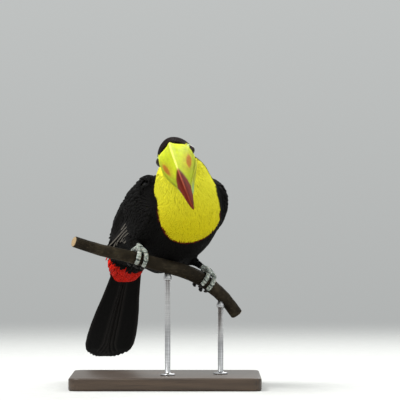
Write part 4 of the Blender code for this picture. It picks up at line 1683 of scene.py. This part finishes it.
@dataclass(frozen=True)
class Stand:
    """A bevelled wooden base and two steel rods with collars.

    The rods' profiles are rows of a share of the rod's radius, and metres from its foot or its top.
    """

    corner: float = 0.012
    edge: float = 0.0022
    sink: float = 0.0006
    cup: float = 0.0012
    foot_rows: Rows = (
        (0, 0), (2.7, 0), (2.7, 0.0018), (2.3, 0.0024), (1.35, 0.0026), (1.2, 0.0032), (1, 0.0036),
    )  # fmt: skip
    top_rows: Rows = (
        (1, -0.0095), (1.25, -0.009), (1.45, -0.0078), (1.45, -0.0045), (1.2, -0.0038), (1.1, 0), (0, 0),
    )  # fmt: skip

    def base(self) -> None:
        """The base block, with rounded corners and eased edges."""
        low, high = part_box("stand_base")
        bm = bmesh.new()
        bmesh.ops.create_cube(bm, size=1)
        bmesh.ops.scale(bm, vec=high - low, verts=bm.verts)
        bmesh.ops.translate(bm, vec=(low + high) / 2, verts=bm.verts)
        settings = {"affect": "EDGES", "profile": 0.5, "material": -1, "clamp_overlap": True}
        upright = [e for e in bm.edges if abs(e.verts[0].co.z - e.verts[1].co.z) > 0.005]
        bmesh.ops.bevel(bm, geom=upright, offset=self.corner, segments=8, **settings)
        level = [e for e in bm.edges if abs(e.verts[0].co.z - e.verts[1].co.z) < 1e-6]
        level = [e for e in level if len({round(f.normal.z) for f in e.link_faces}) > 1]
        bmesh.ops.bevel(bm, geom=level, offset=self.edge, segments=4, **settings)
        finished("stand_plinth", bm, walnut_finish(), "stand_wood", ("stand_base",))

    def rod(self, node: str) -> None:
        """One rod, with a collar at its foot and a cup under the branch.

        Args:
            node: The CAD rod that it stands for.
        """
        low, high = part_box(node)
        centre, radius = (low + high) / 2, (high.x - low.x) / 2
        bm = bmesh.new()
        ends = ((low.z - self.sink, self.foot_rows), (high.z + self.cup, self.top_rows))
        profile = [(radius * share, level + z) for level, rows in ends for share, z in rows]
        verts = [bm.verts.new((centre.x + r, centre.y, z)) for r, z in profile]
        edges = [bm.edges.new(pair) for pair in zip(verts[:-1], verts[1:])]
        bmesh.ops.spin(
            bm, geom=verts + edges, cent=(centre.x, centre.y, 0), axis=(0, 0, 1), angle=math.tau,
            steps=40, use_merge=True,
        )  # fmt: skip
        bmesh.ops.remove_doubles(bm, verts=bm.verts, dist=1e-6)
        bmesh.ops.recalc_face_normals(bm, faces=bm.faces)
        finished(node + "_steel", bm, steel_finish(), "stand_metal", (node,))


@dataclass(frozen=True)
class Lamp:
    """A soft square lamp: where it hangs, its side, its watts and how strongly it shows in reflections."""

    name: str
    place: Point
    size: float
    watts: float
    gloss: float


@dataclass(frozen=True)
class Studio:
    """A pale floor that fades out, soft lamps and the camera."""

    view_middle: Point = (0.038, -0.035, 0.207)
    distance: float = 4.0
    width: float = 0.44
    sensor: float = 36.0
    reach: float = 50.0
    sky_heights: tuple[float, float] = (-0.35, 0.55)
    sky_strengths: tuple[float, float] = (0.16, 1.0)
    sky: tuple[float, ...] = (0.97, 1.0, 0.99, 1)
    floor_radius: float = 2.6
    floor_level: float = -0.0002
    lit: Point = (0, 0, 0.18)
    lamps: tuple[Lamp, ...] = (
        Lamp("key", (-1.05, -0.60, 2.3), 0.8, 50, 0.5),
        Lamp("fill", (1.7, -1.6, 1.2), 1.2, 4, 0.3),
        Lamp("rim", (0.7, 1.5, 1.3), 0.8, 12, 0.1),
    )

    def _add(self, name: str, data: bpy.types.ID, place: Sequence[float] = (0, 0, 0)) -> bpy.types.Object:
        """Puts a new object in the scene.

        Args:
            name: Its name.
            data: What it shows.
            place: Where it is.

        Returns:
            The object.
        """
        made = bpy.data.objects.new(name, data)
        made.location = place
        bpy.context.scene.collection.objects.link(made)
        return made

    def floor(self) -> None:
        """A broad disc whose rim fades into the backdrop."""
        bm = bmesh.new()
        level = Matrix.Translation((0, 0, self.floor_level))
        bmesh.ops.create_circle(bm, cap_ends=True, segments=96, radius=self.floor_radius, matrix=level)
        mesh = bpy.data.meshes.new("floor")
        bm.to_mesh(mesh)
        bm.free()
        made = Shader("floor", Roughness=0.85, Specular_IOR_Level=0.2)
        at = made.place()
        far = made.node("VectorMath", at, operation="LENGTH").outputs["Value"]
        fade = made.node("MapRange", far, 0.5, 2.3, 1.0, 0.0, interpolation_type="SMOOTHSTEP").outputs[0]
        made.wire(fade, made.surface.inputs["Alpha"])
        speck = made.ramp(made.grain(at, 60, 4), (0.3, (0.60, 0.60, 0.585)), (0.7, (0.64, 0.64, 0.625)))
        mesh.materials.append(made.end(speck))
        floor = self._add("floor", mesh)

    def backdrop(self) -> None:
        """An even pale surround."""
        world = bpy.data.worlds.new("studio")
        world.use_nodes = True
        nodes, links = world.node_tree.nodes, world.node_tree.links
        height = nodes.new("ShaderNodeSeparateXYZ")
        links.new(nodes.new("ShaderNodeTexCoord").outputs["Generated"], height.inputs[0])
        sky = nodes.new("ShaderNodeMapRange")
        for socket, value in zip(sky.inputs[1:5], self.sky_heights + self.sky_strengths):
            socket.default_value = value
        links.new(height.outputs[2], sky.inputs[0])
        links.new(sky.outputs[0], nodes["Background"].inputs["Strength"])
        nodes["Background"].inputs["Color"].default_value = self.sky
        bpy.context.scene.world = world
        bpy.context.scene.view_settings.view_transform = "Standard"

    def light(self, lamp: Lamp) -> None:
        """Hangs a lamp, aimed at the bird.

        Args:
            lamp: Which.
        """
        light = bpy.data.lights.new(lamp.name, "AREA")
        light.shape, light.size = "SQUARE", lamp.size
        light.energy, light.specular_factor = lamp.watts, lamp.gloss
        aim = (Vector(self.lit) - Vector(lamp.place)).to_track_quat("-Z", "Y")
        self._add(lamp.name, light, lamp.place).rotation_euler = aim.to_euler()

    def camera(self) -> None:
        """The camera, level with the bird and in front of it."""
        lens = bpy.data.cameras.new("camera")
        lens.sensor_width, lens.clip_end = self.sensor, self.reach
        lens.lens = self.sensor * self.distance / self.width
        x, y, z = self.view_middle
        camera = self._add("camera", lens, (x, y - self.distance, z))
        camera.rotation_euler = (math.pi / 2, 0, 0)
        bpy.context.scene.camera = camera

    def build(self) -> None:
        """Sets up everything round the bird."""
        self.floor()
        self.backdrop()
        for lamp in self.lamps:
            self.light(lamp)
        self.camera()


def main() -> None:
    """Builds every piece in order and reports each."""
    logging.basicConfig(level=logging.INFO, format="%(name)s: %(message)s")
    bearings, markings = Bearings(), Markings()
    skin = Skin(bearings, markings)
    skin.finish()
    coat = Coat(skin)
    for zone in ZONES:
        coat.strew(zone)
    for side in HANDS:
        Remiges(coat, side).build()
    Tail().build(coat)
    Bill(bearings, "upper").upper()
    Bill(bearings, "lower").lower()
    for side in HANDS:
        Eye(side).build(bearings, markings.face)
        Claws(side).build()
    Perch().build()
    Stand().base()
    for node in ("stand_rod_middle", "stand_rod_right"):
        Stand().rod(node)
    Studio().build()
    bpy.context.view_layer.update()


if __name__ == "__main__":
    main()
